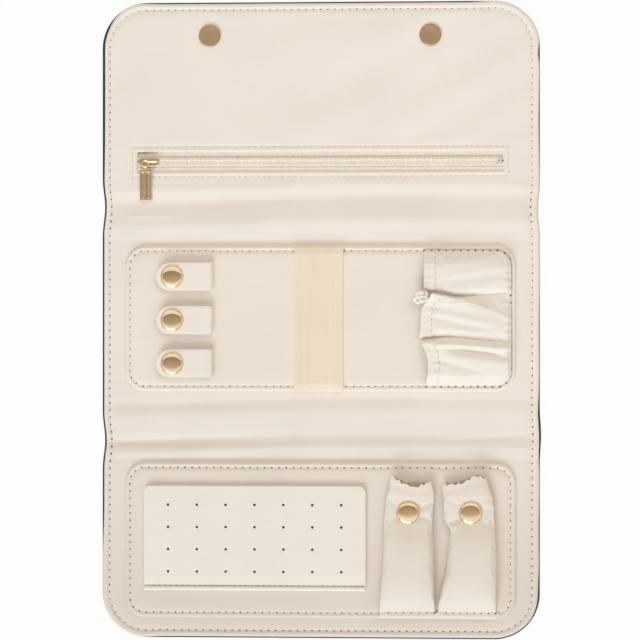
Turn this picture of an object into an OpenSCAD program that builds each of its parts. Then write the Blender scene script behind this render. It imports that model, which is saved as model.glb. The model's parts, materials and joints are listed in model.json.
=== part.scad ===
// Trifold travel jewelry case, lying open and flat.
// +X runs to the right, +Y to the closing flap, +Z out of the lining.
// The origin is on the table, under the middle of the open case.

/* [Case] */
// Width of the case
case_w = 240.5; // [225:0.5:270]
// Length of the flap
flap_l = 96.6; // [90:0.1:97]
// Length of the centre, between its two spines
centre_l = 100.9; // [98:0.1:110]
// Width of the lower spine, between centre and base
lower_spine_l = 22; // [21:0.1:25]
// Room between the base's back and the flap, when closed
flap_room = 4; // [3.6:0.1:5]
// Gap between the base's edge and the upper spine, when closed
base_room = 1.4; // [1:0.1:3]
// Corner radius of the cover
corner_r = 25; // [12:1:30]
// Thickness of the cover cloth
cover_t = 0.9; // [0.8:0.1:1.4]
// Thickness of the lining cloth
lining_t = 0.7; // [0.5:0.1:1.2]
// Width of the cover that shows around the lining
cover_lip = 0.7; // [0.3:0.1:2]
// Width of the sewn edge, outside the boards
hem_w = 6; // [4:0.5:9]

/* [Boards] */
// Thickness of the stiffening boards
board_t = 1.2; // [0.8:0.1:2]
// Thickness of the wadding above the boards
pad_t = 1.2; // [1.2:0.1:2]
// Gap between a board and the sewn edge
board_clear = 0.5; // [0.2:0.1:1]
// Distance of the boards and the wadding from each fold line
fold_in = 6; // [1:0.5:8]
// Gap at each fold line between two parts of one cloth
fold_gap = 0.3; // [0.2:0.05:0.6]

/* [Raised panels] */
// Border between a panel's side and the case's side
panel_side = 12.75; // [8:0.25:16]
// Height of a raised panel above the lining
panel_h = 2.5; // [1.5:0.1:2.8]
// Corner radius of a raised panel
panel_r = 11.5; // [6:0.5:16]
// Thickness of the panel cloth
panel_t = 0.7; // [0.5:0.1:1]
// Width of the sewn edge of a panel
panel_hem = 4; // [3:0.5:5]
// Play between a panel's cloth and its foam
foam_play = 0.2; // [0.1:0.1:0.5]
// Border between the lower fold line and the centre panel
centre_panel_low = 13.7; // [10:0.1:15]
// Border between the centre panel and the upper fold line
centre_panel_high = 7; // [5:0.1:8]
// Border between the case's lower edge and the base panel
base_panel_low = 11.1; // [9:0.1:13]
// Border between the base panel and its fold line
base_panel_high = 2.8; // [2.8:0.1:5]

/* [Magnets] */
// Diameter of a magnet disc
magnet_d = 12; // [8:0.5:15]
// Height of a flap magnet above the lining
magnet_h = 1.2; // [0.8:0.1:1.5]
// Distance of the magnets from the case's sides
magnet_side = 59.65; // [40:0.05:80]
// Distance of the magnets from the flap's edge
magnet_in = 18.5; // [14:0.1:24]
// Thickness of a catch's cap
catch_t = 0.7; // [0.4:0.1:0.8]
// Diameter of a magnet's post
magnet_post_d = 2.4; // [1.6:0.1:3]
// Thickness of the washer behind a magnet
washer_t = 0.35; // [0.2:0.05:0.4]
// Play around a magnet's post and around a catch
magnet_play = 0.1; // [0.05:0.05:0.2]

/* [Zip] */
// Distance of the zip window's ends from the case's sides
window_side = 19.75; // [17:0.05:45]
// Height of the zip window
window_w = 10.6; // [9:0.2:12]
// Distance of the zip from the flap's fold line
zip_in = 9.1; // [8.8:0.1:12]
// Width of one coil row
coil_w = 1.75; // [1.2:0.05:2]
// Height of a coil row
coil_h = 1; // [0.8:0.1:1.1]
// Gap between the two coil rows
coil_gap = 1; // [0.9:0.1:1.4]
// Thickness of the zip tape
tape_t = 0.35; // [0.2:0.05:0.4]
// Width of tape sewn under the lining
tape_tuck = 2.5; // [1.5:0.1:4]
// Length of the zip's end stop
end_stop_l = 1.6; // [1:0.1:2.5]
// Length of the slider
slider_l = 11; // [10:0.5:14]
// Thickness of the slider's top plate
slider_t = 0.7; // [0.5:0.1:0.9]
// Gap between the slider and what it runs on
slider_play = 0.15; // [0.1:0.05:0.2]
// Diameter of the bail's wire
bail_d = 0.8; // [0.6:0.1:1]
// Length of the bail
bail_l = 6.5; // [5.5:0.1:7.5]
// Length of the pull, from the bail to its tip
pull_l = 21.5; // [15:0.5:24]
// Width of the pull
pull_w = 6.4; // [4:0.1:8]
// Thickness of the pull
pull_t = 0.8; // [0.6:0.1:0.9]
// Width of the pull's curled eye
eye_l = 2.4; // [1.6:0.1:3]
// Gap between the pull and the lining it rests on
pull_rest_gap = 0.3; // [0.2:0.05:0.5]
// Depth of the pocket behind the lining
zip_pocket_l = 68; // [40:1:70]

/* [Necklace tabs] */
// Width of a tab
tab_w = 15.3; // [13:0.1:18]
// Length of a tab
tab_l = 30.8; // [25:0.1:40]
// Distance of the tabs from the panel's side
tab_in = 18; // [10:0.1:22]
// Distance between two tabs
tab_pitch = 23.8; // [20:0.1:25]
// Thickness of the tab cloth
tab_t = 0.8; // [0.6:0.1:1]
// Distance of the snap from the tab's round end
tab_snap_in = 8.7; // [7:0.1:10]

/* [Snaps] */
// Diameter of a snap cap
cap_d = 12.2; // [10:0.1:13]
// Height of a snap cap's dome
cap_h = 2; // [1.5:0.1:2.2]
// Diameter of the socket and of the stud's base
socket_d = 9; // [7:0.1:10]
// Thickness of the socket
socket_t = 1.2; // [1:0.1:1.4]
// Diameter of the stud
stud_d = 3; // [2.4:0.1:3.6]
// Thickness of the stud's base
stud_base_t = 0.6; // [0.4:0.1:0.8]
// Play of the stud in its socket, all round
snap_play = 0.15; // [0.1:0.05:0.2]
// Gap between a socket and the stud's base
snap_gap = 0.3; // [0.2:0.1:0.5]

/* [Elastic band] */
// Width of the elastic band
band_w = 27.3; // [15:0.1:35]
// Thickness of the elastic band
band_t = 0.8; // [0.6:0.1:1.2]
// Middle of the elastic band
band_x = -0.4; // [-10:0.1:10]

/* [Pockets] */
// Length of the pockets, from mouth to sewn end
pocket_l = 47.3; // [42:0.1:55]
// Distance of the sewn end from the panel's side
pocket_in = 3.2; // [2:0.1:5]
// Distance of the first pocket from the panel's upper edge
pocket_top_in = 2.7; // [2:0.1:4]
// Width of a pocket
pocket_w = 23.3; // [18:0.1:23.6]
// Distance between two pockets
pocket_gap = 0.5; // [0.4:0.1:1]
// Height of a pocket at its mouth
pocket_h = 7; // [6.4:0.1:7.5]
// Height of a pocket at its sewn end
pocket_end_h = 1.6; // [1.4:0.1:2]
// Thickness of the pocket cloth
pocket_t = 0.8; // [0.7:0.1:1]
// Width of the elastic in a pocket's mouth
mouth_elastic_w = 5; // [4:0.1:6]
// Thickness of the elastic in a pocket's mouth
mouth_elastic_t = 0.36; // [0.2:0.02:0.4]

/* [Earring leaf] */
// Length of the leaf along the hem
leaf_w = 122.1; // [110:0.1:125]
// Height of the leaf from its sewn edge to its free edge
leaf_l = 57.7; // [50:0.1:60]
// Distance of the leaf from the panel's side
leaf_side_in = 10.9; // [8:0.1:12]
// Distance of the hem from the panel's lower edge
leaf_low_in = 15.1; // [8:0.1:18]
// Width of the sewn hem
leaf_hem = 2.9; // [2:0.1:4]
// Thickness of one layer of the leaf
leaf_t = 0.8; // [0.5:0.1:1]
// Gap under the leaf
leaf_lift = 0.3; // [0.2:0.1:0.6]
// Radius of the leaf's two upper corners
leaf_r = 6; // [3:0.5:10]
// Diameter of an earring hole
hole_d = 1.5; // [1:0.1:2.5]
// Number of holes along the leaf
hole_cols = 7; // [3:1:7]
// Number of holes up the leaf
hole_rows = 4; // [2:1:4]
// Distance between two holes along the leaf
hole_pitch_x = 15.87; // [10:0.01:16]
// Distance between two holes up the leaf
hole_pitch_y = 12.2; // [8:0.1:12.5]
// Distance of the upper row from the leaf's free edge
hole_in = 10.6; // [6:0.1:12]

/* [Ring rolls] */
// Width of a ring roll
roll_w = 29.6; // [24:0.1:31]
// Distance of the right roll from the panel's side
roll_side_in = 9.9; // [8:0.1:12]
// Distance between the middles of the two rolls
roll_pitch = 34; // [32:0.1:35]
// Distance of the rolls' seam from the panel's lower edge
roll_low_in = 2.1; // [1.5:0.1:4]
// Length of a roll from its seam to its free end
roll_l = 73.8; // [66:0.1:76]
// Height of the stuffed part of a roll
roll_h = 7.6; // [6.5:0.1:8]
// Distance of the snap from a roll's free end
roll_snap_in = 17.6; // [12:0.1:20]
// Thickness of a roll's flat end
roll_head_t = 2.6; // [2.2:0.1:3]
// Thickness of the roll cloth
roll_t = 0.8; // [0.6:0.1:1]
// Thickness of a roll where it is sewn in
roll_seam_t = 0.9; // [0.7:0.1:1.2]
// Length over which a roll rises from its seam
roll_rise_l = 10.5; // [8:0.5:14]
// Distance of the roll's highest point from its snap
roll_crown_in = 30; // [24:0.5:36]
// Distance from the snap to where the flat end starts
roll_flat_in = 7; // [6.2:0.1:9]
// Length of the slope from the stuffed part to the flat end
roll_slope_l = 9; // [7:0.5:12]
// Gap under the stuffed part of a roll
roll_lift = 0.3; // [0.2:0.1:0.6]
// Height that a roll loses towards its seam
roll_seam_drop = 1.4; // [1:0.1:2]
// Height that a roll loses towards its snap
roll_snap_drop = 0.4; // [0.2:0.1:1]

/* [Hidden] */
$fn = 48;
eps = 0.01;                                   // overlap that makes cuts clean

under_z = cover_t + board_t + pad_t;          // underside of the lining
lining_z = under_z + lining_t;                // top of the lining: the fold lines lie here
panel_z = lining_z + panel_h;                 // top of both raised panels
board_top = cover_t + board_t;
half_gap = fold_gap / 2;

// The base folds over the centre first, and the flap then folds over the base's back.
base_l = centre_l - base_room;
upper_spine_l = lower_spine_l + lining_z + flap_room;
case_l = flap_l + upper_spine_l + centre_l + lower_spine_l + base_l;
half_w = case_w / 2;
half_l = case_l / 2;
base_fold_y = -half_l + base_l;
lower_fold_y = base_fold_y + lower_spine_l;
upper_fold_y = lower_fold_y + centre_l;
flap_fold_y = upper_fold_y + upper_spine_l;

// The zones between the fold lines, from low y to high y.
base_zone = [-half_l, base_fold_y - half_gap];
lower_spine_zone = [base_fold_y + half_gap, lower_fold_y - half_gap];
centre_zone = [lower_fold_y + half_gap, upper_fold_y - half_gap];
upper_spine_zone = [upper_fold_y + half_gap, flap_fold_y - half_gap];
flap_zone = [flap_fold_y + half_gap, half_l];

// Raised panels.
panel_x1 = half_w - panel_side;
panel_x0 = -panel_x1;
centre_panel_y0 = lower_fold_y + centre_panel_low;
centre_panel_y1 = upper_fold_y - centre_panel_high;
base_panel_y0 = -half_l + base_panel_low;
base_panel_y1 = base_fold_y - base_panel_high;

// The flap closes a little past flat, until its magnets meet the catches in the base's cover.
catch_gap = 0.3;
magnet_x = half_w - magnet_side;
magnet_y = half_l - magnet_in;
magnet_arm = magnet_y - flap_fold_y;
close_angle = asin((flap_room - magnet_h - catch_gap) / magnet_arm);
catch_y = lower_fold_y + base_fold_y - upper_fold_y + magnet_arm * cos(close_angle);

// Zip.
zip_y = flap_fold_y + zip_in;
tape_z = under_z - tape_t;
coil_top = under_z + coil_h;
slider_top = coil_top + slider_play + slider_t;
lip_t = 0.5;                                  // thickness of the slider's side lips
post_w = coil_gap - 2 * slider_play;          // the slider's post runs between the coils
foot_t = 0.45;                                // thickness of the slider's bottom plate
slider_w = 2 * (coil_w + slider_play + lip_t) + coil_gap;
window_x0 = window_side - half_w;
window_x1 = half_w - window_side;
window_l = window_x1 - window_x0;
coil_x0 = window_x0 + 0.3;
coil_x1 = window_x1 - 0.8 - end_stop_l;
slider_x = window_x0 + 0.9 + slider_l / 2;
bail_x = slider_x + 1.6;                      // the bail sits towards the slider's nose
eye_wall = 0.4;
eye_play = 0.05;
eye_r = bail_d / 2 + eye_play + eye_wall;
bail_z = slider_top + 0.1 + eye_r;
eye_x = bail_x - bail_l / 2 + bail_d / 2 + 0.3 + eye_l / 2;
pull_x = slider_x - 1.8;                      // the blade stands off to the left of its eye
neck_l = slider_w / 2 + 2.5;                  // the blade starts past the slider
pull_drop = asin((bail_z - pull_t / 2 - lining_z - pull_rest_gap) / pull_l);

// Levels of a snapped necklace tab, counted from the panel.
tab_left_x = panel_x0 + tab_in;
tab_fold_x = tab_left_x + tab_l;
tab_socket_z = tab_t + stud_base_t + snap_gap;
tab_top_z = tab_socket_z + socket_t;          // underside of the upper strap
tab_axis_z = (tab_top_z + tab_t) / 2;         // the strap bends at half its height
tab_clear = 0.15;
snap_x = tab_left_x + tab_snap_in;

// Pockets.
pocket_x1 = panel_x1 - pocket_in;
pocket_x0 = pocket_x1 - pocket_l;
pocket_top_y = centre_panel_y1 - pocket_top_in;
casing_play = 0.02;                           // around the elastic in a pocket's mouth

// Earring leaf: it turns about the upper edge of its hem.
leaf_x0 = panel_x0 + leaf_side_in;
leaf_x1 = leaf_x0 + leaf_w;
leaf_y0 = base_panel_y0 + leaf_low_in;
leaf_y1 = leaf_y0 + leaf_l;
leaf_axis_y = leaf_y0 + leaf_hem + 0.1;

// Levels of a ring roll, counted from the panel.
roll_y0 = base_panel_y0 + roll_low_in;
roll_y1 = roll_y0 + roll_l;
roll_snap_y = roll_y1 - roll_snap_in;
roll_right_x = panel_x1 - roll_side_in - roll_w / 2;
roll_left_x = roll_right_x - roll_pitch;
roll_flat_y = roll_snap_y - roll_flat_in;
roll_slope_y = roll_flat_y - roll_slope_l;
roll_rise_y = roll_y0 + roll_rise_l;
roll_crown_y = roll_snap_y - roll_crown_in;
fill_y0 = roll_y0 + roll_rise_l * 0.6;
fill_y1 = roll_slope_y + roll_slope_l / 9;
fill_play = 0.3;                              // between the filling and the cloth above it
fill_tip_t = 0.2;                             // half thickness of the filling's thin end
roll_socket_z = stud_base_t + snap_gap;
roll_head_z = roll_socket_z + socket_t;       // underside of the flat end with the snap
roll_seam_z = 1.5;

cream = [0.93, 0.89, 0.83];
linen = [0.90, 0.86, 0.79];
teal = [0.08, 0.27, 0.31];
gold = [0.80, 0.62, 0.36];
card = [0.72, 0.66, 0.56];
foam = [0.95, 0.95, 0.92];
band_colour = [0.93, 0.87, 0.78];

// ---- Shapes that repeat ----

// A flat slab with rounded corners, standing on z = 0, from corner a to corner b.
module slab(a, b, r, h) {
    linear_extrude(h) {
        translate([a[0] + r, a[1]]) square([b[0] - a[0] - 2 * r, b[1] - a[1]]);
        translate([a[0], a[1] + r]) square([b[0] - a[0], b[1] - a[1] - 2 * r]);
        for (x = [a[0] + r, b[0] - r], y = [a[1] + r, b[1] - r])
            translate([x, y]) circle(r);
    }
}

// The part of the case's outline that lies in one zone, inset from the cover's edge.
module zone_slab(zone, inset, h) {
    intersection() {
        slab([-half_w + inset, -half_l + inset], [half_w - inset, half_l - inset],
             corner_r - inset, h);
        translate([-case_w, zone[0], -1]) cube([2 * case_w, zone[1] - zone[0], h + 2]);
    }
}

// A zone shortened by a gap at each end.
function shorten(zone, gap) = [zone[0] + gap, zone[1] - gap];

module cover_zone(zone) {
    zone_slab(zone, 0, cover_t);
}

// The lining closes down onto the cover along the sewn edge, and leaves room for board and pad.
module lining_zone(zone) {
    translate([0, 0, cover_t]) difference() {
        zone_slab(zone, cover_lip, lining_z - cover_t);
        translate([0, 0, -eps])
            zone_slab([zone[0] - 1, zone[1] + 1], hem_w, board_t + pad_t + eps);
    }
}

module board_zone(zone) {
    translate([0, 0, cover_t]) zone_slab(shorten(zone, fold_in), hem_w + board_clear, board_t);
}

module pad_zone(zone, z, h) {
    translate([0, 0, z]) zone_slab(shorten(zone, fold_in), hem_w + board_clear, h);
}

// A disc or a hole at both magnets.
module at_magnets(y, z) {
    for (side = [-1, 1]) translate([side * magnet_x, y, z]) children();
}

module ring(r_out, r_in, h) {
    difference() {
        cylinder(r = r_out, h = h);
        translate([0, 0, -eps]) cylinder(r = r_in, h = h + 2 * eps);
    }
}

// A raised panel: a cloth shell that closes down on the lining around its foam.
module panel_shell(y0, y1) {
    translate([0, 0, lining_z]) difference() {
        slab([panel_x0, y0], [panel_x1, y1], panel_r, panel_h);
        translate([0, 0, -eps])
            slab([panel_x0 + panel_hem, y0 + panel_hem], [panel_x1 - panel_hem, y1 - panel_hem],
                 panel_r - panel_hem, panel_h - panel_t + eps);
    }
}

module panel_foam(y0, y1) {
    inset = panel_hem + foam_play;
    translate([0, 0, lining_z])
        slab([panel_x0 + inset, y0 + inset], [panel_x1 - inset, y1 - inset],
             panel_r - inset, panel_h - panel_t);
}

// A snap's stud, standing on z = 0.
module stud() {
    cylinder(d = socket_d, h = stud_base_t);
    cylinder(d = stud_d, h = stud_base_t + socket_t);
}

// A snap's cap and socket, clamped on cloth that lies from z = 0 to z = cloth_t.
module snap_cap(cloth_t) {
    dome_r = (pow(cap_d / 2, 2) + pow(cap_h, 2)) / (2 * cap_h);
    translate([0, 0, cloth_t]) intersection() {
        cylinder(d = cap_d, h = cap_h);
        translate([0, 0, cap_h - dome_r]) sphere(dome_r, $fn = 96);
    }
    cylinder(d = stud_d + 0.6, h = cloth_t + 0.2);
    translate([0, 0, -socket_t]) difference() {
        cylinder(d = socket_d, h = socket_t);
        translate([0, 0, -eps]) cylinder(d = stud_d + 2 * snap_play, h = socket_t);
    }
}

// ---- Cover, boards, pads and lining ----

module cover_centre() { color(teal) cover_zone(centre_zone); }
module cover_upper_spine() { color(teal) cover_zone(upper_spine_zone); }
module cover_flap() { color(teal) cover_zone(flap_zone); }
module cover_lower_spine() { color(teal) cover_zone(lower_spine_zone); }

// The base's cover is pierced for the two catches, which lie flush in it.
module cover_base() {
    color(teal) difference() {
        cover_zone(base_zone);
        at_magnets(catch_y, -eps) cylinder(d = magnet_d + 2 * magnet_play, h = cover_t + 2 * eps);
    }
}

module board_centre() { color(card) board_zone(centre_zone); }
module board_flap() { color(card) board_zone(flap_zone); }

module board_base() {
    color(card) difference() {
        board_zone(base_zone);
        at_magnets(catch_y, 0) cylinder(d = magnet_post_d + 2 * magnet_play, h = lining_z);
    }
}

module pad_centre() { color(foam) pad_zone(centre_zone, board_top, pad_t); }
module pad_upper_spine() { color(foam) pad_zone(upper_spine_zone, cover_t, board_t + pad_t); }
module pad_lower_spine() { color(foam) pad_zone(lower_spine_zone, cover_t, board_t + pad_t); }

module pad_base() {
    color(foam) difference() {
        pad_zone(base_zone, board_top, pad_t);
        at_magnets(catch_y, board_top - eps)
            cylinder(d = magnet_d + 2 * magnet_play, h = washer_t + magnet_play);
    }
}

module lining_centre() { color(cream) lining_zone(centre_zone); }
module lining_upper_spine() { color(cream) lining_zone(upper_spine_zone); }
module lining_lower_spine() { color(cream) lining_zone(lower_spine_zone); }
module lining_base() { color(cream) lining_zone(base_zone); }

// The flap's lining has the zip window and the holes of the magnets' posts.
module lining_flap() {
    color(cream) difference() {
        lining_zone(flap_zone);
        translate([window_x0, zip_y - window_w / 2, cover_t])
            cube([window_l, window_w, lining_z]);
        at_magnets(magnet_y, cover_t) cylinder(d = magnet_post_d + 2 * magnet_play, h = lining_z);
    }
}

// ---- Magnets and catches ----

module magnet_discs() {
    color(gold) at_magnets(magnet_y, lining_z) {
        cylinder(d = magnet_d, h = magnet_h);
        translate([0, 0, -lining_t - washer_t])
            cylinder(d = magnet_post_d, h = lining_t + washer_t + eps);
    }
}

module magnet_washers() {
    color(gold) at_magnets(magnet_y, under_z - washer_t)
        ring(magnet_d / 2, magnet_post_d / 2 + 0.05, washer_t);
}

module catch_discs() {
    color(gold) at_magnets(catch_y, 0) {
        cylinder(d = magnet_d, h = catch_t);
        cylinder(d = magnet_post_d, h = board_top + washer_t);
    }
}

module catch_washers() {
    color(gold) at_magnets(catch_y, board_top)
        ring(magnet_d / 2, magnet_post_d / 2 + 0.05, washer_t);
}

// ---- Zip ----

// One tape, side = 1 above the coils and -1 below them.
module zip_tape(side) {
    tape_w = (window_w - coil_gap) / 2 + tape_tuck;
    tape_l = window_l + 2 * tape_tuck;
    y0 = side > 0 ? coil_gap / 2 : -coil_gap / 2 - tape_w;
    translate([-tape_l / 2, zip_y + y0, tape_z]) cube([tape_l, tape_w, tape_t]);
}

// One row of the coil: a bar with rounded long sides.
module zip_coil(side) {
    r = coil_h / 2;
    y = zip_y + side * (coil_gap + coil_w) / 2;
    for (shift = [-1, 1] * (coil_w / 2 - r))
        translate([coil_x0, y + shift, under_z + r])
            rotate([0, 90, 0]) cylinder(r = r, h = coil_x1 - coil_x0);
    translate([coil_x0, y - coil_w / 2 + r, under_z])
        cube([coil_x1 - coil_x0, coil_w - 2 * r, coil_h]);
}

module zip_tape_upper() { color(linen) zip_tape(1); }
module zip_tape_lower() { color(linen) zip_tape(-1); }
module zip_coil_upper() { color(linen) zip_coil(1); }
module zip_coil_lower() { color(linen) zip_coil(-1); }

module zip_end_stop() {
    color(gold) translate([coil_x1, zip_y - coil_w - coil_gap / 2, under_z])
        cube([end_stop_l, 2 * coil_w + coil_gap, coil_h]);
}

// The pocket behind the lining: a flat bag whose mouth faces the zip.
module zip_pocket_bag() {
    bag_h = pad_t - tape_t - 0.1;
    bag_wall = 0.2;
    y0 = zip_y + window_w / 2 + tape_tuck + 1;
    bag_x = window_l / 2;
    color(linen) translate([-bag_x, y0, board_top + 0.02]) difference() {
        cube([2 * bag_x, zip_pocket_l, bag_h]);
        translate([bag_wall, -1, bag_wall])
            cube([2 * (bag_x - bag_wall), zip_pocket_l + 1 - bag_wall, bag_h - 2 * bag_wall]);
    }
}

// The slider: two plates joined by a post between the coils, side lips and a bail on top.
module zip_slider() {
    plate_z = coil_top + slider_play;
    foot_z = tape_z - slider_play - foot_t;
    lip_z = under_z + slider_play;
    color(gold) {
        translate([slider_x, zip_y, 0]) {
            translate([0, 0, plate_z])
                slab([-slider_l / 2, -slider_w / 2], [slider_l / 2, slider_w / 2], 1.8, slider_t);
            for (side = [-1, 1])
                translate([-slider_l / 2 + 2, side * (slider_w - lip_t) / 2 - lip_t / 2, lip_z])
                    cube([slider_l - 4, lip_t, plate_z - lip_z + eps]);
            translate([0, -post_w / 2, foot_z]) cube([2, post_w, plate_z - foot_z + eps]);
            translate([0, 0, foot_z])
                slab([-slider_l / 2 + 1, -slider_w / 2], [slider_l / 2 - 1, slider_w / 2], 1.8, foot_t);
        }
        translate([bail_x, zip_y, 0]) {
            for (end = [-1, 1] * bail_l / 2)
                translate([end, 0, slider_top - eps])
                    cylinder(d = bail_d, h = bail_z + bail_d / 2 - slider_top + eps);
            translate([-bail_l / 2, 0, bail_z])
                rotate([0, 90, 0]) cylinder(d = bail_d, h = bail_l);
        }
    }
}

// The pull turns on the bail: a curled eye, a neck and a grooved blade that rests on the lining.
module zip_pull() {
    groove_w = 0.8;
    color(gold) translate([0, zip_y, bail_z]) difference() {
        union() {
            translate([eye_x - eye_l / 2, 0, 0]) rotate([0, 90, 0]) cylinder(r = eye_r, h = eye_l);
            rotate([pull_drop, 0, 0]) {
                translate([eye_x - eye_l / 2, -neck_l - 1, -pull_t / 2])
                    cube([eye_l, neck_l + 1, pull_t]);
                translate([pull_x - pull_w / 2, -pull_l, -pull_t / 2])
                    cube([pull_w, pull_l - neck_l, pull_t]);
            }
        }
        translate([eye_x - eye_l, 0, 0])
            rotate([0, 90, 0]) cylinder(r = eye_r - eye_wall, h = 2 * eye_l);
        rotate([pull_drop, 0, 0])
            for (i = [-1, 1])
                translate([pull_x + i * pull_w / 5 - groove_w / 2, -pull_l - 1, pull_t / 4])
                    cube([groove_w, pull_l - neck_l, pull_t]);
    }
}

// ---- Centre panel ----

module centre_panel() { color(cream) panel_shell(centre_panel_y0, centre_panel_y1); }
module centre_panel_foam() { color(foam) panel_foam(centre_panel_y0, centre_panel_y1); }

module elastic_band() {
    color(band_colour)
        translate([band_x - band_w / 2, centre_panel_y0 + 0.5, panel_z])
        cube([band_w, centre_panel_y1 - centre_panel_y0 - 1, band_t]);
}

function tab_y(i) = (2 - i) * tab_pitch;

// Outline of a tab: square at the fold and round at the snap.
module tab_strip(i, h) {
    r = tab_w / 2;
    linear_extrude(h) {
        translate([tab_left_x + r, tab_y(i) - r]) square([tab_l - r, tab_w]);
        translate([tab_left_x + r, tab_y(i)]) circle(r);
    }
}

module tab_fold(i, z0, z1) {
    translate([tab_fold_x - tab_t, tab_y(i) - tab_w / 2, z0]) cube([tab_t, tab_w, z1 - z0]);
}

// The lower half of a tab is sewn to the panel and rises to the middle of the fold.
module tab_base(i) {
    color(cream) translate([0, 0, panel_z]) {
        tab_strip(i, tab_t);
        tab_fold(i, 0, tab_axis_z - tab_clear);
    }
}

// The upper half lies over it, held by the snap.
module tab_strap(i) {
    color(cream) translate([0, 0, panel_z]) difference() {
        union() {
            translate([0, 0, tab_top_z]) tab_strip(i, tab_t);
            tab_fold(i, tab_axis_z + tab_clear, tab_top_z + tab_t);
        }
        translate([snap_x, tab_y(i), tab_top_z - 1]) cylinder(d = stud_d + 0.7, h = tab_t + 2);
    }
}

module tab_snap(i) {
    color(gold) translate([snap_x, tab_y(i), panel_z + tab_top_z]) snap_cap(tab_t);
}

module tab_studs() {
    color(gold) for (i = [1:3]) translate([snap_x, tab_y(i), panel_z + tab_t]) stud();
}

module tab_base_1() { tab_base(1); }
module tab_base_2() { tab_base(2); }
module tab_base_3() { tab_base(3); }
module tab_strap_1() { tab_strap(1); }
module tab_strap_2() { tab_strap(2); }
module tab_strap_3() { tab_strap(3); }
module tab_snap_1() { tab_snap(1); }
module tab_snap_2() { tab_snap(2); }
module tab_snap_3() { tab_snap(3); }

// ---- Pockets ----

// Upper side of pocket i, counted from the top.
function pocket_y(i) = pocket_top_y - (i - 1) * (pocket_w + pocket_gap);

// Side view of a pocket, inset by t.
function pocket_side(t) = [
    [0, 0], [0, pocket_h - t], [pocket_l / 4, pocket_h - t],
    [pocket_l * 0.63, pocket_h - 1.2 - t],
    [pocket_l - t, pocket_end_h - t], [pocket_l - t, 0]
];

module pocket_wedge(t, w) {
    rotate([90, 0, 0]) linear_extrude(w) polygon(pocket_side(t));
}

// The casing for the elastic lies in the cloth at the mouth, mouth_inset from every edge.
mouth_inset = 1;
casing_z = pocket_h - (pocket_t + mouth_elastic_t) / 2;

module mouth_elastic(i, play) {
    side = pocket_t + mouth_inset - play;
    translate([mouth_inset - play, side - pocket_w, casing_z - play])
        cube([mouth_elastic_w + 2 * play, pocket_w - 2 * side, mouth_elastic_t + 2 * play]);
}

// A pocket: open at its mouth, sewn down on its two sides and at its end.
module pocket(i) {
    color(cream) translate([pocket_x0, pocket_y(i), panel_z]) difference() {
        pocket_wedge(0, pocket_w);
        translate([-eps, -pocket_t, -eps]) pocket_wedge(pocket_t, pocket_w - 2 * pocket_t);
        mouth_elastic(i, casing_play);
    }
}

module pocket_elastics() {
    color(band_colour) for (i = [1:3])
        translate([pocket_x0, pocket_y(i), panel_z]) mouth_elastic(i, 0);
}

module pocket_1() { pocket(1); }
module pocket_2() { pocket(2); }
module pocket_3() { pocket(3); }

// ---- Base panel and earring leaf ----

module base_panel() { color(cream) panel_shell(base_panel_y0, base_panel_y1); }
module base_panel_foam() { color(foam) panel_foam(base_panel_y0, base_panel_y1); }

module earring_leaf_hem() {
    color(cream) translate([leaf_x0, leaf_y0, panel_z])
        cube([leaf_x1 - leaf_x0, leaf_hem, leaf_lift + 2 * leaf_t]);
}

// One layer of the leaf, with two round upper corners and the rows of earring holes.
module leaf_layer(z) {
    hole_mid_x = (leaf_x0 + leaf_x1) / 2;
    hole_top_y = leaf_y1 - hole_in;
    y0 = leaf_axis_y + 0.1;
    translate([0, 0, panel_z + z]) difference() {
        linear_extrude(leaf_t) {
            translate([leaf_x0, y0]) square([leaf_x1 - leaf_x0, leaf_y1 - leaf_r - y0]);
            translate([leaf_x0 + leaf_r, y0])
                square([leaf_x1 - leaf_x0 - 2 * leaf_r, leaf_y1 - y0]);
            for (x = [leaf_x0 + leaf_r, leaf_x1 - leaf_r])
                translate([x, leaf_y1 - leaf_r]) circle(leaf_r);
        }
        for (i = [0:hole_cols - 1], j = [0:hole_rows - 1])
            translate([hole_mid_x + (i - (hole_cols - 1) / 2) * hole_pitch_x,
                       hole_top_y - j * hole_pitch_y, -1])
                cylinder(d = hole_d, h = leaf_t + 2, $fn = 24);
    }
}

module earring_leaf_backing() { color(linen) leaf_layer(leaf_lift); }
module earring_leaf() { color(cream) leaf_layer(leaf_lift + leaf_t); }

// ---- Ring rolls ----

// Side view of a roll, inset by t: thin at the seam, stuffed, then flat at the snap.
function roll_side(t) = [
    [roll_y0 + t, roll_seam_z - roll_seam_t + t * 0.4], [roll_rise_y, roll_lift + t],
    [roll_slope_y + roll_slope_l / 3, roll_lift + t], [roll_flat_y, roll_head_z + t],
    [roll_y1, roll_head_z + t], [roll_y1, roll_head_z + roll_head_t - t],
    [roll_flat_y, roll_head_z + roll_head_t - t], [roll_slope_y, roll_h - roll_snap_drop - t],
    [roll_crown_y, roll_h - t], [roll_rise_y, roll_h - roll_seam_drop - t],
    [roll_y0 + t, roll_seam_z - t * 0.4]
];

// Side view of the filling: it keeps t from the cloth and leaves both thin ends empty.
function filling_side(t) = [
    [fill_y0, roll_seam_z + fill_tip_t + t], [roll_rise_y + t, roll_lift + t],
    [fill_y1, roll_lift + t],
    [fill_y1, roll_h - roll_snap_drop - fill_play - t], [roll_crown_y, roll_h - fill_play - t],
    [roll_rise_y + t, roll_h - roll_seam_drop - fill_play - t],
    [fill_y0, roll_seam_z + 3 * fill_tip_t + t]
];

// Stands a side view up and gives it a width, about x.
module across(x, w) {
    translate([x - w / 2, 0, panel_z]) rotate([90, 0, 90]) linear_extrude(w) children();
}

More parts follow.
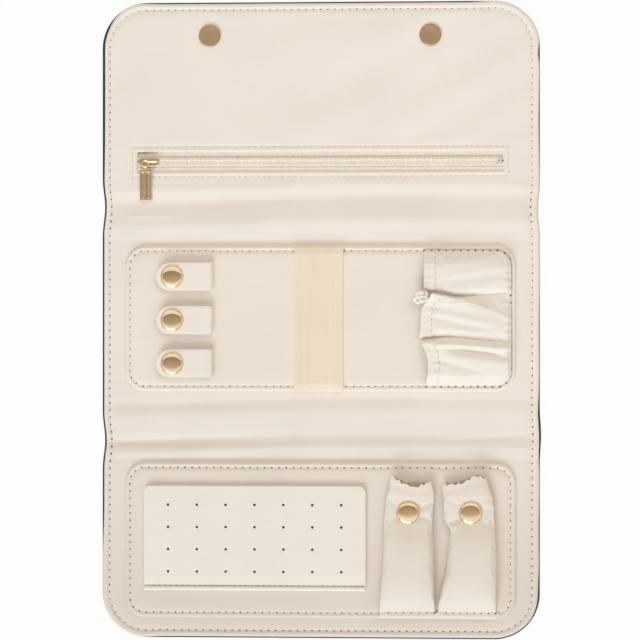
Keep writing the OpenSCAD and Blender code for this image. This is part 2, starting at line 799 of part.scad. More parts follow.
module ring_roll(x) {
    color(cream) difference() {
        across(x, roll_w) polygon(roll_side(0));
        across(x, roll_w - 2 * roll_t) polygon(roll_side(roll_t));
        across(x, roll_w - 2 * roll_t)
            translate([roll_y1 - 1, roll_head_z + roll_t]) square([2, roll_head_t - 2 * roll_t]);
        translate([x, roll_snap_y, panel_z]) cylinder(d = stud_d + 0.7, h = 10);
    }
}

module ring_filling(x) {
    color(foam) across(x, roll_w - 2 * roll_t - 0.4) polygon(filling_side(roll_t));
}

module ring_snap(x) {
    color(gold) translate([x, roll_snap_y, panel_z + roll_head_z]) snap_cap(roll_head_t);
}

module ring_roll_hems() {
    color(cream) for (x = [roll_left_x, roll_right_x])
        translate([x - roll_w / 2, base_panel_y0 + 0.3, panel_z])
            cube([roll_w, roll_y0 - base_panel_y0 - 0.5, roll_seam_z]);
}

module ring_roll_studs() {
    color(gold) for (x = [roll_left_x, roll_right_x])
        translate([x, roll_snap_y, panel_z]) stud();
}

module ring_roll_left() { ring_roll(roll_left_x); }
module ring_roll_right() { ring_roll(roll_right_x); }
module ring_filling_left() { ring_filling(roll_left_x); }
module ring_filling_right() { ring_filling(roll_right_x); }
module ring_snap_left() { ring_snap(roll_left_x); }
module ring_snap_right() { ring_snap(roll_right_x); }

cover_centre();
board_centre();
pad_centre();
lining_centre();
centre_panel();
centre_panel_foam();
elastic_band();
tab_base_1();
tab_base_2();
tab_base_3();
tab_studs();
pocket_1();
pocket_2();
pocket_3();
pocket_elastics();
cover_upper_spine();
pad_upper_spine();
lining_upper_spine();
cover_flap();
board_flap();
lining_flap();
magnet_discs();
magnet_washers();
zip_tape_upper();
zip_tape_lower();
zip_coil_upper();
zip_coil_lower();
zip_end_stop();
zip_pocket_bag();
zip_slider();
zip_pull();
cover_lower_spine();
pad_lower_spine();
lining_lower_spine();
cover_base();
board_base();
pad_base();
lining_base();
base_panel();
base_panel_foam();
catch_discs();
catch_washers();
earring_leaf_hem();
earring_leaf();
earring_leaf_backing();
ring_roll_hems();
ring_roll_studs();
ring_roll_left();
ring_filling_left();
ring_snap_left();
ring_roll_right();
ring_filling_right();
ring_snap_right();
tab_strap_1();
tab_snap_1();
tab_strap_2();
tab_snap_2();
tab_strap_3();
tab_snap_3();
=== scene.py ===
"""An open trifold jewelry case: its looks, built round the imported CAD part. Lengths are in mm."""
import json
import math

import bpy
import numpy as np
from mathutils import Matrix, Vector


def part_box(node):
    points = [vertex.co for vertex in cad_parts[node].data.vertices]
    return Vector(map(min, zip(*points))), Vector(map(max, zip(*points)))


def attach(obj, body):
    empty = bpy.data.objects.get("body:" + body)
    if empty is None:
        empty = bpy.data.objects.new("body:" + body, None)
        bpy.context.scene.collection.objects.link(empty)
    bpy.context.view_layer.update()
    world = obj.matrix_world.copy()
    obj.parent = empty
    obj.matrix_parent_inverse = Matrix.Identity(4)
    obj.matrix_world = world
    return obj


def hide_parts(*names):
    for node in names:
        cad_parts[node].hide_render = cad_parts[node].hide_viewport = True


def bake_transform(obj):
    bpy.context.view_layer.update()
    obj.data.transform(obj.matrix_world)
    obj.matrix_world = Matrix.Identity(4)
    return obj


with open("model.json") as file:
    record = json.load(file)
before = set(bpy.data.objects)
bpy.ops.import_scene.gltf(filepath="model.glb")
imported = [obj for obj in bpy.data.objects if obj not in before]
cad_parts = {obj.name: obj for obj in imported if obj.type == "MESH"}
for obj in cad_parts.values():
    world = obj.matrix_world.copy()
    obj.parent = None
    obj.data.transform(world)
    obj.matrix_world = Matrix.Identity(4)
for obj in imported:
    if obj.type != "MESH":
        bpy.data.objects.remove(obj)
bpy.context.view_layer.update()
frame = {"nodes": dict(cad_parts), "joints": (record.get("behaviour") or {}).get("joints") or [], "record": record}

MM = 0.001


# ---- Places taken from the frame ----

def corners(*nodes):
    """Lowest and highest corner of some CAD nodes together."""
    boxes = [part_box(node) for node in nodes]
    low = np.min([box[0] for box in boxes], axis=0) / MM
    high = np.max([box[1] for box in boxes], axis=0) / MM
    return low, high


def middle_of(*nodes):
    """The middle of the box round some CAD nodes."""
    low, high = corners(*nodes)
    return (low + high) / 2


def pivot(joint):
    """The point that a joint turns about."""
    found = next(j for j in frame["joints"] if j["name"] == joint)
    return np.array(found["pos_m"]) / MM


HALF_W, HALF_L, _ = corners("cover_flap", "cover_centre", "cover_base")[1]
CASE_CORNER = np.array([-HALF_W, -HALF_L])
CORNER_R = 25.0
LINING_Z = pivot("base_fold")[2]
PANEL_Z = corners("centre_panel")[1][2]

FLAP_FOLD_Y = pivot("flap_fold")[1]
UPPER_FOLD_Y = pivot("upper_spine_fold")[1]
LOWER_FOLD_Y = pivot("lower_spine_fold")[1]
BASE_FOLD_Y = pivot("base_fold")[1]
UPPER_SPINE_Y = (FLAP_FOLD_Y + UPPER_FOLD_Y) / 2
LOWER_SPINE_Y = (LOWER_FOLD_Y + BASE_FOLD_Y) / 2
CENTRE_Y = (UPPER_FOLD_Y + LOWER_FOLD_Y) / 2

CENTRE_PANEL = corners("centre_panel")
BASE_PANEL = corners("base_panel")
PANEL_R = 11.5
PANEL_DEEP = 0.6            # how far a panel's rim reaches under the lining's height
PANEL_STITCH = 3.0          # distance of a panel's stitches from its edge
EDGE_STITCH = 4.0           # distance of the case's stitches from the lining's edge
STITCH_PITCH = 4.0

ZIP_Y = middle_of("zip_tape_upper", "zip_tape_lower")[1]
WINDOW_HALF_W = 5.3
WINDOW_HALF_L = 100.5
WINDOW_STITCH = 2.9         # distance of the window's stitches from its edge
WINDOW_RIM = [0, 0.3, 0.7, 1.2, 2, WINDOW_STITCH, 3.6]


# ---- Small helpers ----

def smooth(low, high, value):
    """0 below low, 1 above high and an even curve between."""
    t = np.clip((np.asarray(value, float) - low) / (high - low), 0, 1)
    return t * t * (3 - 2 * t)


def bump(centre, width, value):
    """A round hill, 1 high at its centre and a tenth of that a width and a half away."""
    return np.exp(-((np.asarray(value, float) - centre) / width) ** 2)


def ridge(x, y, start, end, width, fade=0.15):
    """A fold that runs from start to end: 1 along its line, fading out at both ends."""
    start, end = np.array(start, float), np.array(end, float)
    along = end - start
    length = np.linalg.norm(along)
    along = along / length
    t = ((x - start[0]) * along[0] + (y - start[1]) * along[1]) / length
    off = (x - start[0]) * along[1] - (y - start[1]) * along[0]
    return np.exp(-(off / width) ** 2) * smooth(-fade, fade, t) * smooth(-fade, fade, 1 - t)


def hills(table, value):
    """A sum of round hills, each given by its height, centre and width."""
    return sum(height * bump(centre, width, value) for height, centre, width in table)


def creases(table, x, y):
    """A sum of folds, each given by its height, start, end and width, and maybe its fade."""
    return sum(height * ridge(x, y, *rest) for height, *rest in table)


def curve_through(points, value):
    """A smooth curve through (place, value) pairs."""
    points = np.array(points, float)
    place, height = points[:, 0], points[:, 1]
    slope = np.gradient(height, place)
    i = np.clip(np.searchsorted(place, value) - 1, 0, len(place) - 2)
    span = place[i + 1] - place[i]
    t = np.clip((value - place[i]) / span, 0, 1)
    return (
        (2 * t**3 - 3 * t**2 + 1) * height[i] + (t**3 - 2 * t**2 + t) * span * slope[i]
        + (3 * t**2 - 2 * t**3) * height[i + 1] + (t**3 - t**2) * span * slope[i + 1]
    )


def rim_inset(x, y, low, high, radius):
    """How far a point lies inside a rectangle with rounded corners."""
    mid, half = (low + high) / 2, (high - low) / 2
    qx = np.abs(x - mid[0]) - (half[0] - radius)
    qy = np.abs(y - mid[1]) - (half[1] - radius)
    outside = np.hypot(np.maximum(qx, 0), np.maximum(qy, 0))
    return radius - outside - np.minimum(np.maximum(qx, qy), 0)


LINE_GAP = 0.12             # a grid's other lines keep this far from those with a fixed place


def lines(low, high, step, rim, radius=0.0, stops=()):
    """Grid lines that stand close at both rims, follow a corner's curve and pass every stop."""
    turn = radius * (1 - np.cos(np.radians(np.arange(0, 91, 6))))
    near = np.unique(np.concatenate([rim, turn]).round(2))
    inside = max(near)
    count = max(2, int((high - low - 2 * inside) / step) + 1)
    between = np.linspace(low + inside, high - inside, count)
    free = np.concatenate([low + near, between, high - near])
    fixed = np.array([low, high, *stops], float)
    clear = np.abs(free[:, None] - fixed[None, :]).min(axis=1) > LINE_GAP
    return np.unique(np.concatenate([free[clear], fixed]))


def rounded_grid(low, high, radius, x_lines, y_lines):
    """Grid points that fill a rectangle with rounded corners."""
    mid, half = (low[0] + high[0]) / 2, (high[0] - low[0]) / 2
    deep = np.maximum(0, radius - np.minimum(y_lines - low[1], high[1] - y_lines))
    reach = half - radius + np.sqrt(np.maximum(radius**2 - deep**2, 0))
    x = mid + np.outer(reach / half, x_lines - mid)
    return x, np.repeat(y_lines[:, None], len(x_lines), axis=1)


def follow(profile, value):
    """Straight lines through (place, value) pairs, level beyond both ends."""
    return np.interp(value, *np.array(profile).T)


def in_scene(name, data):
    """A new object that shows some data."""
    piece = bpy.data.objects.new(name, data)
    bpy.context.scene.collection.objects.link(piece)
    return piece


def mesh_object(name, points, faces, *paints, slots=None, sharp=40):
    """A mesh from points in mm and faces, with its materials."""
    mesh = bpy.data.meshes.new(name)
    mesh.from_pydata((np.asarray(points, float) * MM).tolist(), [], [list(f) for f in faces])
    for paint in paints:
        mesh.materials.append(paint)
    if slots is not None:
        mesh.polygons.foreach_set("material_index", np.asarray(slots, np.int32))
    mesh.polygons.foreach_set("use_smooth", np.ones(len(mesh.polygons), bool))
    if sharp:
        mesh.set_sharp_from_angle(angle=math.radians(sharp))
    mesh.update()
    return in_scene(name, mesh)


def grid_index(shape):
    """The number of each point of a grid."""
    return np.arange(shape[0] * shape[1]).reshape(shape)


def grid_cells(shape):
    """The four point numbers of each cell of a grid."""
    index = grid_index(shape)
    return np.stack([index[:-1, :-1], index[:-1, 1:], index[1:, 1:], index[1:, :-1]], axis=-1)


def cell_middles(x, y):
    """The middle of each cell of a grid."""
    return (x[:-1, :-1] + x[1:, 1:]) / 2, (y[:-1, :-1] + y[1:, 1:]) / 2


def flat_points(x, y, z):
    """A grid's points in one list."""
    return np.stack([x.ravel(), y.ravel(), z.ravel()], axis=-1)


def shell_parts(x, y, top, under, keep=None, open_cells=False):
    """Points and faces of a closed sheet over a grid: a top, an underside and walls. The cells
    that aren't kept get walls as well, unless open_cells leaves them and their points to add to."""
    count = x.size
    cells = grid_cells(x.shape)
    quads = cells[keep] if keep is not None else cells.reshape(-1, 4)
    walled = cells.reshape(-1, 4) if open_cells else quads
    edges = np.stack([walled, np.roll(walled, -1, axis=1)], axis=-1).reshape(-1, 2)
    lone = ~np.isin(edges[:, 0] * count + edges[:, 1], edges[:, 1] * count + edges[:, 0])
    a, b = edges[lone].T
    walls = np.stack([b, a, a + count, b + count], axis=-1)
    faces = np.concatenate([quads, quads[:, ::-1] + count, walls])
    points = np.concatenate([flat_points(x, y, top), flat_points(x, y, under)])
    if open_cells:
        return points, faces
    used, faces = np.unique(faces, return_inverse=True)
    return points[used], faces.reshape(-1, 4)


def shell(name, x, y, top, under, paint, keep=None, sharp=40):
    """The mesh of a closed sheet over a grid."""
    points, faces = shell_parts(x, y, top, np.broadcast_to(under, x.shape), keep)
    return mesh_object(name, points, faces, paint, sharp=sharp)


def merge(parts):
    """One list of points and faces from several, with the part that each face came from."""
    points, faces, slots, start = [], [], [], 0
    for number, (some_points, some_faces) in enumerate(parts):
        points.append(np.asarray(some_points, float))
        faces += [[i + start for i in face] for face in some_faces]
        slots += [number] * len(some_faces)
        start += len(some_points)
    return np.concatenate(points), faces, slots


def full_turn(steps):
    """Evenly spaced angles round a circle."""
    return np.linspace(0, 2 * np.pi, steps, endpoint=False)


def ring_faces(rows, sides, closed=False):
    """Faces between rings of points that follow each other."""
    faces = []
    for i in range(rows if closed else rows - 1):
        n = (i + 1) % rows
        for j in range(sides):
            k = (j + 1) % sides
            faces.append([i * sides + j, i * sides + k, n * sides + k, n * sides + j])
    return faces


def end_caps(rows, sides):
    """The faces that close the first and the last of some rings."""
    return [list(range(sides)), list(range((rows - 1) * sides, rows * sides))[::-1]]


def flipped(faces):
    """The same faces, seen from their other side."""
    return [face[::-1] for face in faces]


def lathe(profile, x, y, z, steps=40):
    """Points and faces of a closed profile of (radius, height) pairs, turned about an upright
    axis."""
    points = [
        [x + radius * math.cos(angle), y + radius * math.sin(angle), z + height]
        for radius, height in profile for angle in full_turn(steps)]
    faces = ring_faces(len(profile), steps) + flipped(end_caps(len(profile), steps))
    return np.array(points), faces


def tube(path, radius, sides, closed=False, flat=1.0):
    """Points and faces of a tube along a path. flat squeezes it in z."""
    path = np.asarray(path, float)
    along = np.gradient(path, axis=0)
    if closed:
        along = np.roll(path, -1, axis=0) - np.roll(path, 1, axis=0)
    along = along / np.linalg.norm(along, axis=1)[:, None]
    up = np.array([0.0, 0.0, 1.0])
    if np.abs(along @ up).max() > 0.95:
        up = np.array([0.0, 1.0, 0.0])
    side = np.cross(along, up)
    side = side / np.linalg.norm(side, axis=1)[:, None]
    rise = np.cross(side, along)
    turn = full_turn(sides)
    ring = (
        path[:, None, :]
        + radius * np.cos(turn)[None, :, None] * side[:, None, :]
        + radius * flat * np.sin(turn)[None, :, None] * rise[:, None, :]
    )
    faces = ring_faces(len(path), sides, closed)
    if not closed:
        faces += end_caps(len(path), sides)
    return ring.reshape(-1, 3), faces


def bevel(piece, width, segments=2, angle=35):
    """Rounds a piece's sharp edges and keeps the result as its mesh."""
    modifier = piece.modifiers.new("edges", "BEVEL")
    modifier.width = width * MM
    modifier.segments = segments
    modifier.angle_limit = math.radians(angle)
    modifier.harden_normals = False
    graph = bpy.context.evaluated_depsgraph_get()
    mesh = bpy.data.meshes.new_from_object(piece.evaluated_get(graph))
    piece.modifiers.clear()
    piece.data = mesh
    piece.data.set_sharp_from_angle(angle=math.radians(50))


def dress(piece, slot, *nodes):
    """Hides the CAD nodes that a piece stands for. Neither the piece nor its slot is used."""
    if nodes:
        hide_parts(*nodes)


def place(piece, body, slot, *nodes):
    """A dressed piece that rides on a body."""
    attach(piece, body)
    dress(piece, slot, *nodes)


# ---- Cloth simulation ----

SIM_SCALE = 20.0            # the solver works on a copy this many times larger, which is steadier
SIM_FRAMES = 18
SIM_SETTINGS = {
    "quality": 6, "mass": 0.3, "air_damping": 3.0, "tension_stiffness": 25,
    "compression_stiffness": 25, "shear_stiffness": 12, "vertex_group_mass": "hold",
    "pin_stiffness": 2.0, "use_pressure": True,
}


def settle(points, faces, hold, pressure, grow, cap, bend=0.6):
    """Lets a cloth of points in mm find its folds. hold is 1 where it is sewn down and 0 where it
    is free, grow is how much too large the cloth is, and no point moves further than cap."""
    mesh = bpy.data.meshes.new("settling")
    mesh.from_pydata((points * MM * SIM_SCALE).tolist(), [], [list(f) for f in faces])
    piece = in_scene("settling", mesh)
    group = piece.vertex_groups.new(name="hold")
    for index, weight in enumerate(hold):
        group.add([index], float(weight), "REPLACE")
    cloth = piece.modifiers.new("cloth", "CLOTH")
    setting = cloth.settings
    for key, value in SIM_SETTINGS.items():
        setattr(setting, key, value)
    setting.bending_stiffness = bend
    setting.shrink_min = -grow
    setting.uniform_pressure_force = pressure
    setting.effector_weights.gravity = 0
    cloth.collision_settings.use_collision = False
    cloth.point_cache.frame_start = 1
    cloth.point_cache.frame_end = SIM_FRAMES
    for number in range(1, SIM_FRAMES + 1):
        bpy.context.scene.frame_set(number)
    graph = bpy.context.evaluated_depsgraph_get()
    settled = piece.evaluated_get(graph).data
    moved = np.empty(len(points) * 3)
    settled.vertices.foreach_get("co", moved)
    moved = moved.reshape(-1, 3) / (MM * SIM_SCALE) - points
    far = np.linalg.norm(moved, axis=1)[:, None]
    moved = moved * cap * np.tanh(far / cap) / np.maximum(far, 1e-9)
    bpy.context.scene.frame_set(1)
    bpy.data.objects.remove(piece)
    return points + moved


# ---- Materials ----

BASE_SHADE_TO_Y = -40          # painted shade, darker from the case's lower end up to here
WHITE = (1, 1, 1)


class Graph:
    """The nodes of a material or of the world, put together one call at a time."""

    def __init__(self, owner):
        owner.use_nodes = True
        self.tree = owner.node_tree

    def add(self, kind, **values):
        """A node with some of its settings or inputs set."""
        node = self.tree.nodes.new("ShaderNode" + kind)
        for key, value in values.items():
            if key in node.inputs:
                node.inputs[key].default_value = value
            else:
                setattr(node, key, value)
        return node

    def link(self, output, socket):
        self.tree.links.new(output, socket)

    def end(self, shader, node):
        """The shader becomes the result."""
        self.link(shader.outputs[0], self.tree.nodes[node].inputs[0])

    def blend(self, share, low, high):
        """A mix of two shaders: low where the share is 0 and high where it is 1."""
        mix = self.add("MixShader")
        self.link(share, mix.inputs[0])
        self.link(low.outputs[0], mix.inputs[1])
        self.link(high.outputs[0], mix.inputs[2])
        return mix

    def seen_share(self):
        """1 for the rays that show the background, and 0 for those that light the object."""
        path = self.add("LightPath")
        total = path.outputs["Is Camera Ray"]
        for ray in ("Is Glossy Ray", "Is Transmission Ray"):
            highest = self.add("Math", operation="MAXIMUM")
            self.link(total, highest.inputs[0])
            self.link(path.outputs[ray], highest.inputs[1])
            total = highest.outputs[0]
        return total


class Paint(Graph):
    """A procedural material. Its patterns are per metre."""

    def __init__(self, name, **sockets):
        self.material = bpy.data.materials.new(name)
        super().__init__(self.material)
        self.shader = self.tree.nodes["Principled BSDF"]
        self.place = self.add("TexCoord").outputs["Object"]
        self.normal = None
        for socket, value in sockets.items():
            self.shader.inputs[socket.replace("_", " ")].default_value = value

    def stretched(self, stretch, turn=0.0):
        mapping = self.add("Mapping", Scale=stretch, Rotation=(0, 0, math.radians(turn)))
        self.link(self.place, mapping.inputs["Vector"])
        return mapping.outputs["Vector"]

    def noise(self, scale, detail=3.0, rough=0.5, stretch=(1, 1, 1), turn=0.0):
        node = self.add("TexNoise", Scale=scale, Detail=detail, Roughness=rough)
        self.link(self.stretched(stretch, turn), node.inputs["Vector"])
        return node.outputs["Fac"]

    def waves(self, scale, direction, distortion):
        node = self.add("TexWave", Scale=scale, Distortion=distortion, bands_direction=direction)
        self.link(self.stretched((1, 1, 1)), node.inputs["Vector"])
        return node.outputs["Fac"]

    def mixed(self, factor, low, high=WHITE, start=0.3, end=0.7):
        """A colour that goes from low to high as a pattern goes from start to end."""
        node = self.add("ValToRGB")
        ends = node.color_ramp.elements
        ends[0].position, ends[1].position = start, end
        ends[0].color, ends[1].color = (*low, 1), (*high, 1)
        self.link(factor, node.inputs["Fac"])
        return node.outputs["Color"]

    def times(self, first, *others):
        """Colours times each other."""
        for other in others:
            node = self.add("Mix", data_type="RGBA", blend_type="MULTIPLY", Factor=1.0)
            self.link(first, node.inputs["A"])
            self.link(other, node.inputs["B"])
            first = node.outputs["Result"]
        return first

    def painted_base_shade(self):
        """Painted shade: a slight darkening towards the case's lower end, for the dimmer light there."""
        apart = self.add("SeparateXYZ")
        self.link(self.place, apart.inputs["Vector"])
        ends = {"From Min": -HALF_L * MM, "From Max": BASE_SHADE_TO_Y * MM}
        share = self.add("MapRange", **ends)
        self.link(apart.outputs["Y"], share.inputs["Value"])
        return self.mixed(share.outputs["Result"], (0.86, 0.85, 0.835), WHITE, 0.0, 1.0)

    def colour(self, output):
        self.link(output, self.shader.inputs["Base Color"])

    def roughness(self, factor, low, high):
        node = self.add("MapRange", **{"To Min": low, "To Max": high})
        self.link(factor, node.inputs["Value"])
        self.link(node.outputs["Result"], self.shader.inputs["Roughness"])

    def relief(self, height, depth, strength):
        """A bump of some depth in mm, on top of those before it."""
        node = self.add("Bump", Strength=strength, Distance=depth * MM)
        self.link(height, node.inputs["Height"])
        if self.normal is not None:
            self.link(self.normal, node.inputs["Normal"])
        self.normal = node.outputs["Normal"]
        self.link(self.normal, self.shader.inputs["Normal"])


def shade(colour, factor):
    """A colour made lighter or darker."""
    return tuple(min(1.0, part * factor) for part in colour)


def cloth_paint(name, colour, painted_base_shade=True):
    """Microfibre cloth: soft clouds, faint uneven weft, a fine nap and small worn spots."""
    paint = Paint(
        name, Roughness=0.88, Sheen_Weight=0.10, Sheen_Roughness=0.5, Specular_IOR_Level=0.25)
    clouds = paint.mixed(paint.noise(24), shade(colour, 0.98), shade(colour, 1.02))
    weft = paint.mixed(
        paint.noise(520, 2, stretch=(0.18, 1.0, 1)), (0.988, 0.987, 0.985), WHITE, 0.35, 0.65)
    nap = paint.mixed(paint.noise(2600, 4, 0.7), (0.978, 0.976, 0.972))
    cloth = paint.times(clouds, weft, nap)
    # painted shade: unless turned off, the colour darkens towards the case's lower end
    paint.colour(paint.times(cloth, paint.painted_base_shade()) if painted_base_shade else cloth)
    paint.relief(paint.noise(150, 3, 0.6), 0.22, 0.35)
    paint.relief(paint.noise(3000, 3, 0.7), 0.05, 0.45)
    return paint.material


def velvet_paint():
    """Velvet: a dark pile with a pale bloom at grazing angles, brushed in patches."""
    paint = Paint(
        "cover_velvet", Roughness=0.75, Sheen_Weight=0.55, Sheen_Roughness=0.35,
        Sheen_Tint=(0.35, 0.75, 0.82, 1), Specular_IOR_Level=0.2)
    brushed = paint.mixed(
        paint.noise(38, 3, stretch=(1, 0.4, 1)), (0.006, 0.048, 0.064), (0.011, 0.078, 0.098))
    pile = paint.mixed(paint.noise(3800, 2, 0.6), (0.7, 0.72, 0.72), WHITE, 0.25, 0.7)
    paint.colour(paint.times(brushed, pile))
    paint.relief(paint.noise(120, 2), 0.20, 0.3)
    paint.relief(paint.noise(3800, 3, 0.7), 0.12, 0.7)
    return paint.material


def weave_paint(name, colour, threads, depth):
    """Plain weave: threads both ways, with uneven yarn."""
    paint = Paint(name, Roughness=0.85, Sheen_Weight=0.08, Specular_IOR_Level=0.2)
    warp = paint.waves(threads, "X", 0.3)
    weft = paint.waves(threads, "Y", 0.3)
    yarn = paint.mixed(paint.noise(420, 4, 0.6), shade(colour, 0.94), shade(colour, 1.05))
    shadow = paint.mixed(warp, (0.88, 0.87, 0.85), WHITE, 0.0, 0.6)
    paint.colour(paint.times(yarn, shadow))
    paint.relief(warp, depth, 0.6)
    paint.relief(weft, depth, 0.6)
    return paint.material


def elastic_paint():
    """Woven elastic: fine ribs along the band, uneven rubber cords and cross threads, with painted shade in their
    grooves.
    """
    colour = (0.865, 0.760, 0.603)
    paint = Paint("elastic", Roughness=0.72, Sheen_Weight=0.1)
    ribs = paint.waves(330, "X", 0.15)
    picks = paint.waves(700, "Y", 0.4)
    clouds = paint.mixed(paint.noise(45), shade(colour, 0.98), shade(colour, 1.02))
    cords = paint.mixed(
        paint.noise(420, 2, stretch=(1, 0.02, 1)), (0.965, 0.955, 0.94), WHITE, 0.35, 0.6)
    # painted shade: the grooves between the ribs and between the cross threads are painted darker
    grooves = paint.mixed(ribs, (0.982, 0.976, 0.965), WHITE, 0.0, 0.5)
    threads = paint.mixed(picks, (0.985, 0.98, 0.97), WHITE, 0.0, 0.5)
    paint.colour(paint.times(clouds, cords, grooves, threads))
    paint.relief(ribs, 0.06, 0.4)
    paint.relief(picks, 0.04, 0.4)
    return paint.material


def metal_paint(name, colour, roughness, depth, brushed=(1, 1, 1)):
    """Plated metal: a little uneven, with fine brushing and a few worn, duller spots."""
    paint = Paint(name, Metallic=1.0, Roughness=roughness)
    paint.colour(paint.mixed(paint.noise(160, 4), shade(colour, 0.93), shade(colour, 1.05)))
    paint.roughness(paint.noise(700, 5, 0.7, stretch=brushed), roughness * 0.7, roughness * 1.5)
    paint.relief(paint.noise(1500, 4, 0.6, stretch=brushed), depth, 0.4)
    return paint.material


def plastic_paint():
    """Nylon monofilament: milky and satin, with a slightly uneven surface."""
    colour = (0.93, 0.86, 0.765)
    paint = Paint(
        "zip_coil", Roughness=0.38, Coat_Weight=0.15, Subsurface_Weight=0.1,
        Subsurface_Radius=(0.0008, 0.0006, 0.0004))
    paint.colour(paint.mixed(paint.noise(500), shade(colour, 0.95), shade(colour, 1.04)))
    paint.relief(paint.noise(2500), 0.02, 0.5)
    return paint.material


def board_paint():
    """Binder's board: pressed grey-brown fibres."""
    paint = Paint("card_board", Roughness=0.92)
    fibres = paint.noise(900, 5, 0.7, stretch=(0.3, 1, 1), turn=20)
    paint.colour(paint.mixed(fibres, (0.40, 0.32, 0.23), (0.58, 0.49, 0.38)))
    paint.relief(fibres, 0.1, 0.6)
    return paint.material


def wadding_paint():
    """Polyester wadding: white, fluffy fibres."""
    paint = Paint("wadding", Roughness=0.95, Sheen_Weight=0.3)
    fluff = paint.noise(650, 6, 0.75)
    paint.colour(paint.mixed(fluff, (0.80, 0.80, 0.78), (0.93, 0.93, 0.91)))
    paint.relief(fluff, 0.5, 0.8)
    return paint.material


def thread_paint(name, colour):
    """Spun sewing thread: slanting plies."""
    paint = Paint(name, Roughness=0.7, Sheen_Weight=0.1)
    plies = paint.waves(900, "DIAGONAL", 0.5)
    paint.colour(paint.mixed(plies, shade(colour, 0.88), shade(colour, 1.04)))
    paint.relief(plies, 0.05, 0.5)
    return paint.material


LINING = cloth_paint("lining_suede", (0.857, 0.801, 0.727))
PANEL = cloth_paint("panel_suede", (0.860, 0.798, 0.712))
LEAF = cloth_paint("leaf_suede", (0.876, 0.828, 0.752), painted_base_shade=False)
ROLL = cloth_paint("roll_suede", (0.812, 0.755, 0.672), painted_base_shade=False)
# painted shade: the rolls' turned-in insides are a dark tan for the shade inside their open ends
ROLL_INSIDE_SHADE = cloth_paint("roll_inside_shade", (0.64, 0.52, 0.36), painted_base_shade=False)
VELVET = velvet_paint()
POCKET_CLOTH = weave_paint("pocket_cloth", (0.86, 0.795, 0.705), 900, 0.06)
TAPE = weave_paint("zip_tape", (0.88, 0.812, 0.72), 620, 0.05)
ELASTIC = elastic_paint()
GOLD = metal_paint("gold_metal", (0.88, 0.69, 0.45), 0.12, 0.01)
PULL_GOLD = metal_paint("pull_gold", (0.70, 0.545, 0.34), 0.24, 0.015, (6, 0.2, 1))
STOP_METAL = metal_paint("stop_metal", (0.78, 0.69, 0.56), 0.5, 0.02)
BRASS = metal_paint("matt_brass", (0.485, 0.335, 0.192), 0.5, 0.03)
COIL = plastic_paint()
THREAD = thread_paint("thread", (0.86, 0.79, 0.69))
# painted shade: needle holes and the leaf's hole walls are near black for the shade inside them
HOLE_SHADE = thread_paint("needle_hole_shade", (0.10, 0.07, 0.045))

SLOT_PAINTS = {
    "cover_velvet": VELVET, "lining_suede": LINING, "pocket_cloth": POCKET_CLOTH,
    "elastic": ELASTIC, "card_board": board_paint(), "wadding": wadding_paint(),
    "zip_coil": COIL, "gold_metal": GOLD, "matt_brass": BRASS,
}


def paint_cad_nodes():
    """The CAD nodes that stay get their finish's detailed material."""
    for part in frame["record"]["subparts"]:
        node = frame["nodes"][part["node"]]
        node.data.materials.clear()
        node.data.materials.append(SLOT_PAINTS[part["material_slot"]])


# ---- Stitches ----

def unit_ball(rings, sides):
    """Points and faces of a small ball, one unit in radius."""
    heights = np.linspace(-np.pi / 2, np.pi / 2, rings + 2)[1:-1]
    points = [[0.0, 0.0, -1.0]]
    points += [
        [math.cos(height) * math.cos(angle), math.cos(height) * math.sin(angle), math.sin(height)]
        for height in heights for angle in full_turn(sides)]
    points.append([0.0, 0.0, 1.0])
    last = 1 + (rings - 1) * sides
    faces = []
    for j in range(sides):
        k = (j + 1) % sides
        faces.append([0, 1 + k, 1 + j])
        faces.append([len(points) - 1, last + j, last + k])
        for low in range(1, last, sides):
            faces.append([low + j, low + k, low + sides + k, low + sides + j])
    return np.array(points), faces


BALL_POINTS, BALL_FACES = unit_ball(5, 7)


def balls(spots, size):
    """Flattened balls at spots of (x, y, z, direction): size is along, across and up."""
    along, across, up = (BALL_POINTS * size).T
    parts = []
    for x, y, z, angle in spots:
        c, s = math.cos(angle), math.sin(angle)
        points = [x + along * c - across * s, y + along * s + across * c, z + up]
        parts.append((np.stack(points, axis=-1), BALL_FACES))
    points, faces, _ = merge(parts)
    return points, faces


def round_path(low, high, radius, pitch=STITCH_PITCH):
    """Evenly spaced (x, y, direction) spots round a rectangle with rounded corners."""
    points = []
    centres = [
        (high[0] - radius, high[1] - radius), (low[0] + radius, high[1] - radius),
        (low[0] + radius, low[1] + radius), (high[0] - radius, low[1] + radius)]
    for quarter, (cx, cy) in enumerate(centres):
        for angle in np.radians(np.linspace(0, 90, 24) + 90 * quarter):
            points.append([cx + radius * math.cos(angle), cy + radius * math.sin(angle)])
    points.append(points[0])
    return spaced_along(np.array(points), pitch)


def spaced_along(points, pitch=STITCH_PITCH):
    """Evenly spaced (x, y, direction) spots along a chain of points."""
    step = np.linalg.norm(np.diff(points, axis=0), axis=1)
    travel = np.concatenate([[0], np.cumsum(step)])
    count = max(1, round(travel[-1] / pitch))
    spots = []
    for at in (np.arange(count) + 0.5) * travel[-1] / count:
        i = min(np.searchsorted(travel, at) - 1, len(step) - 1)
        share = (at - travel[i]) / step[i]
        x, y = points[i] + share * (points[i + 1] - points[i])
        dx, dy = points[i + 1] - points[i]
        spots.append((x, y, math.atan2(dy, dx)))
    return spots


WINDOW_PITCH = 3.4          # of the stitches round the zip window
# Half the length of the needle holes along the case's edge, on each sheet.
EDGE_HOLES = {"flap": 0.42, "upper": 0.46, "lower": 0.54, "base": 0.54}


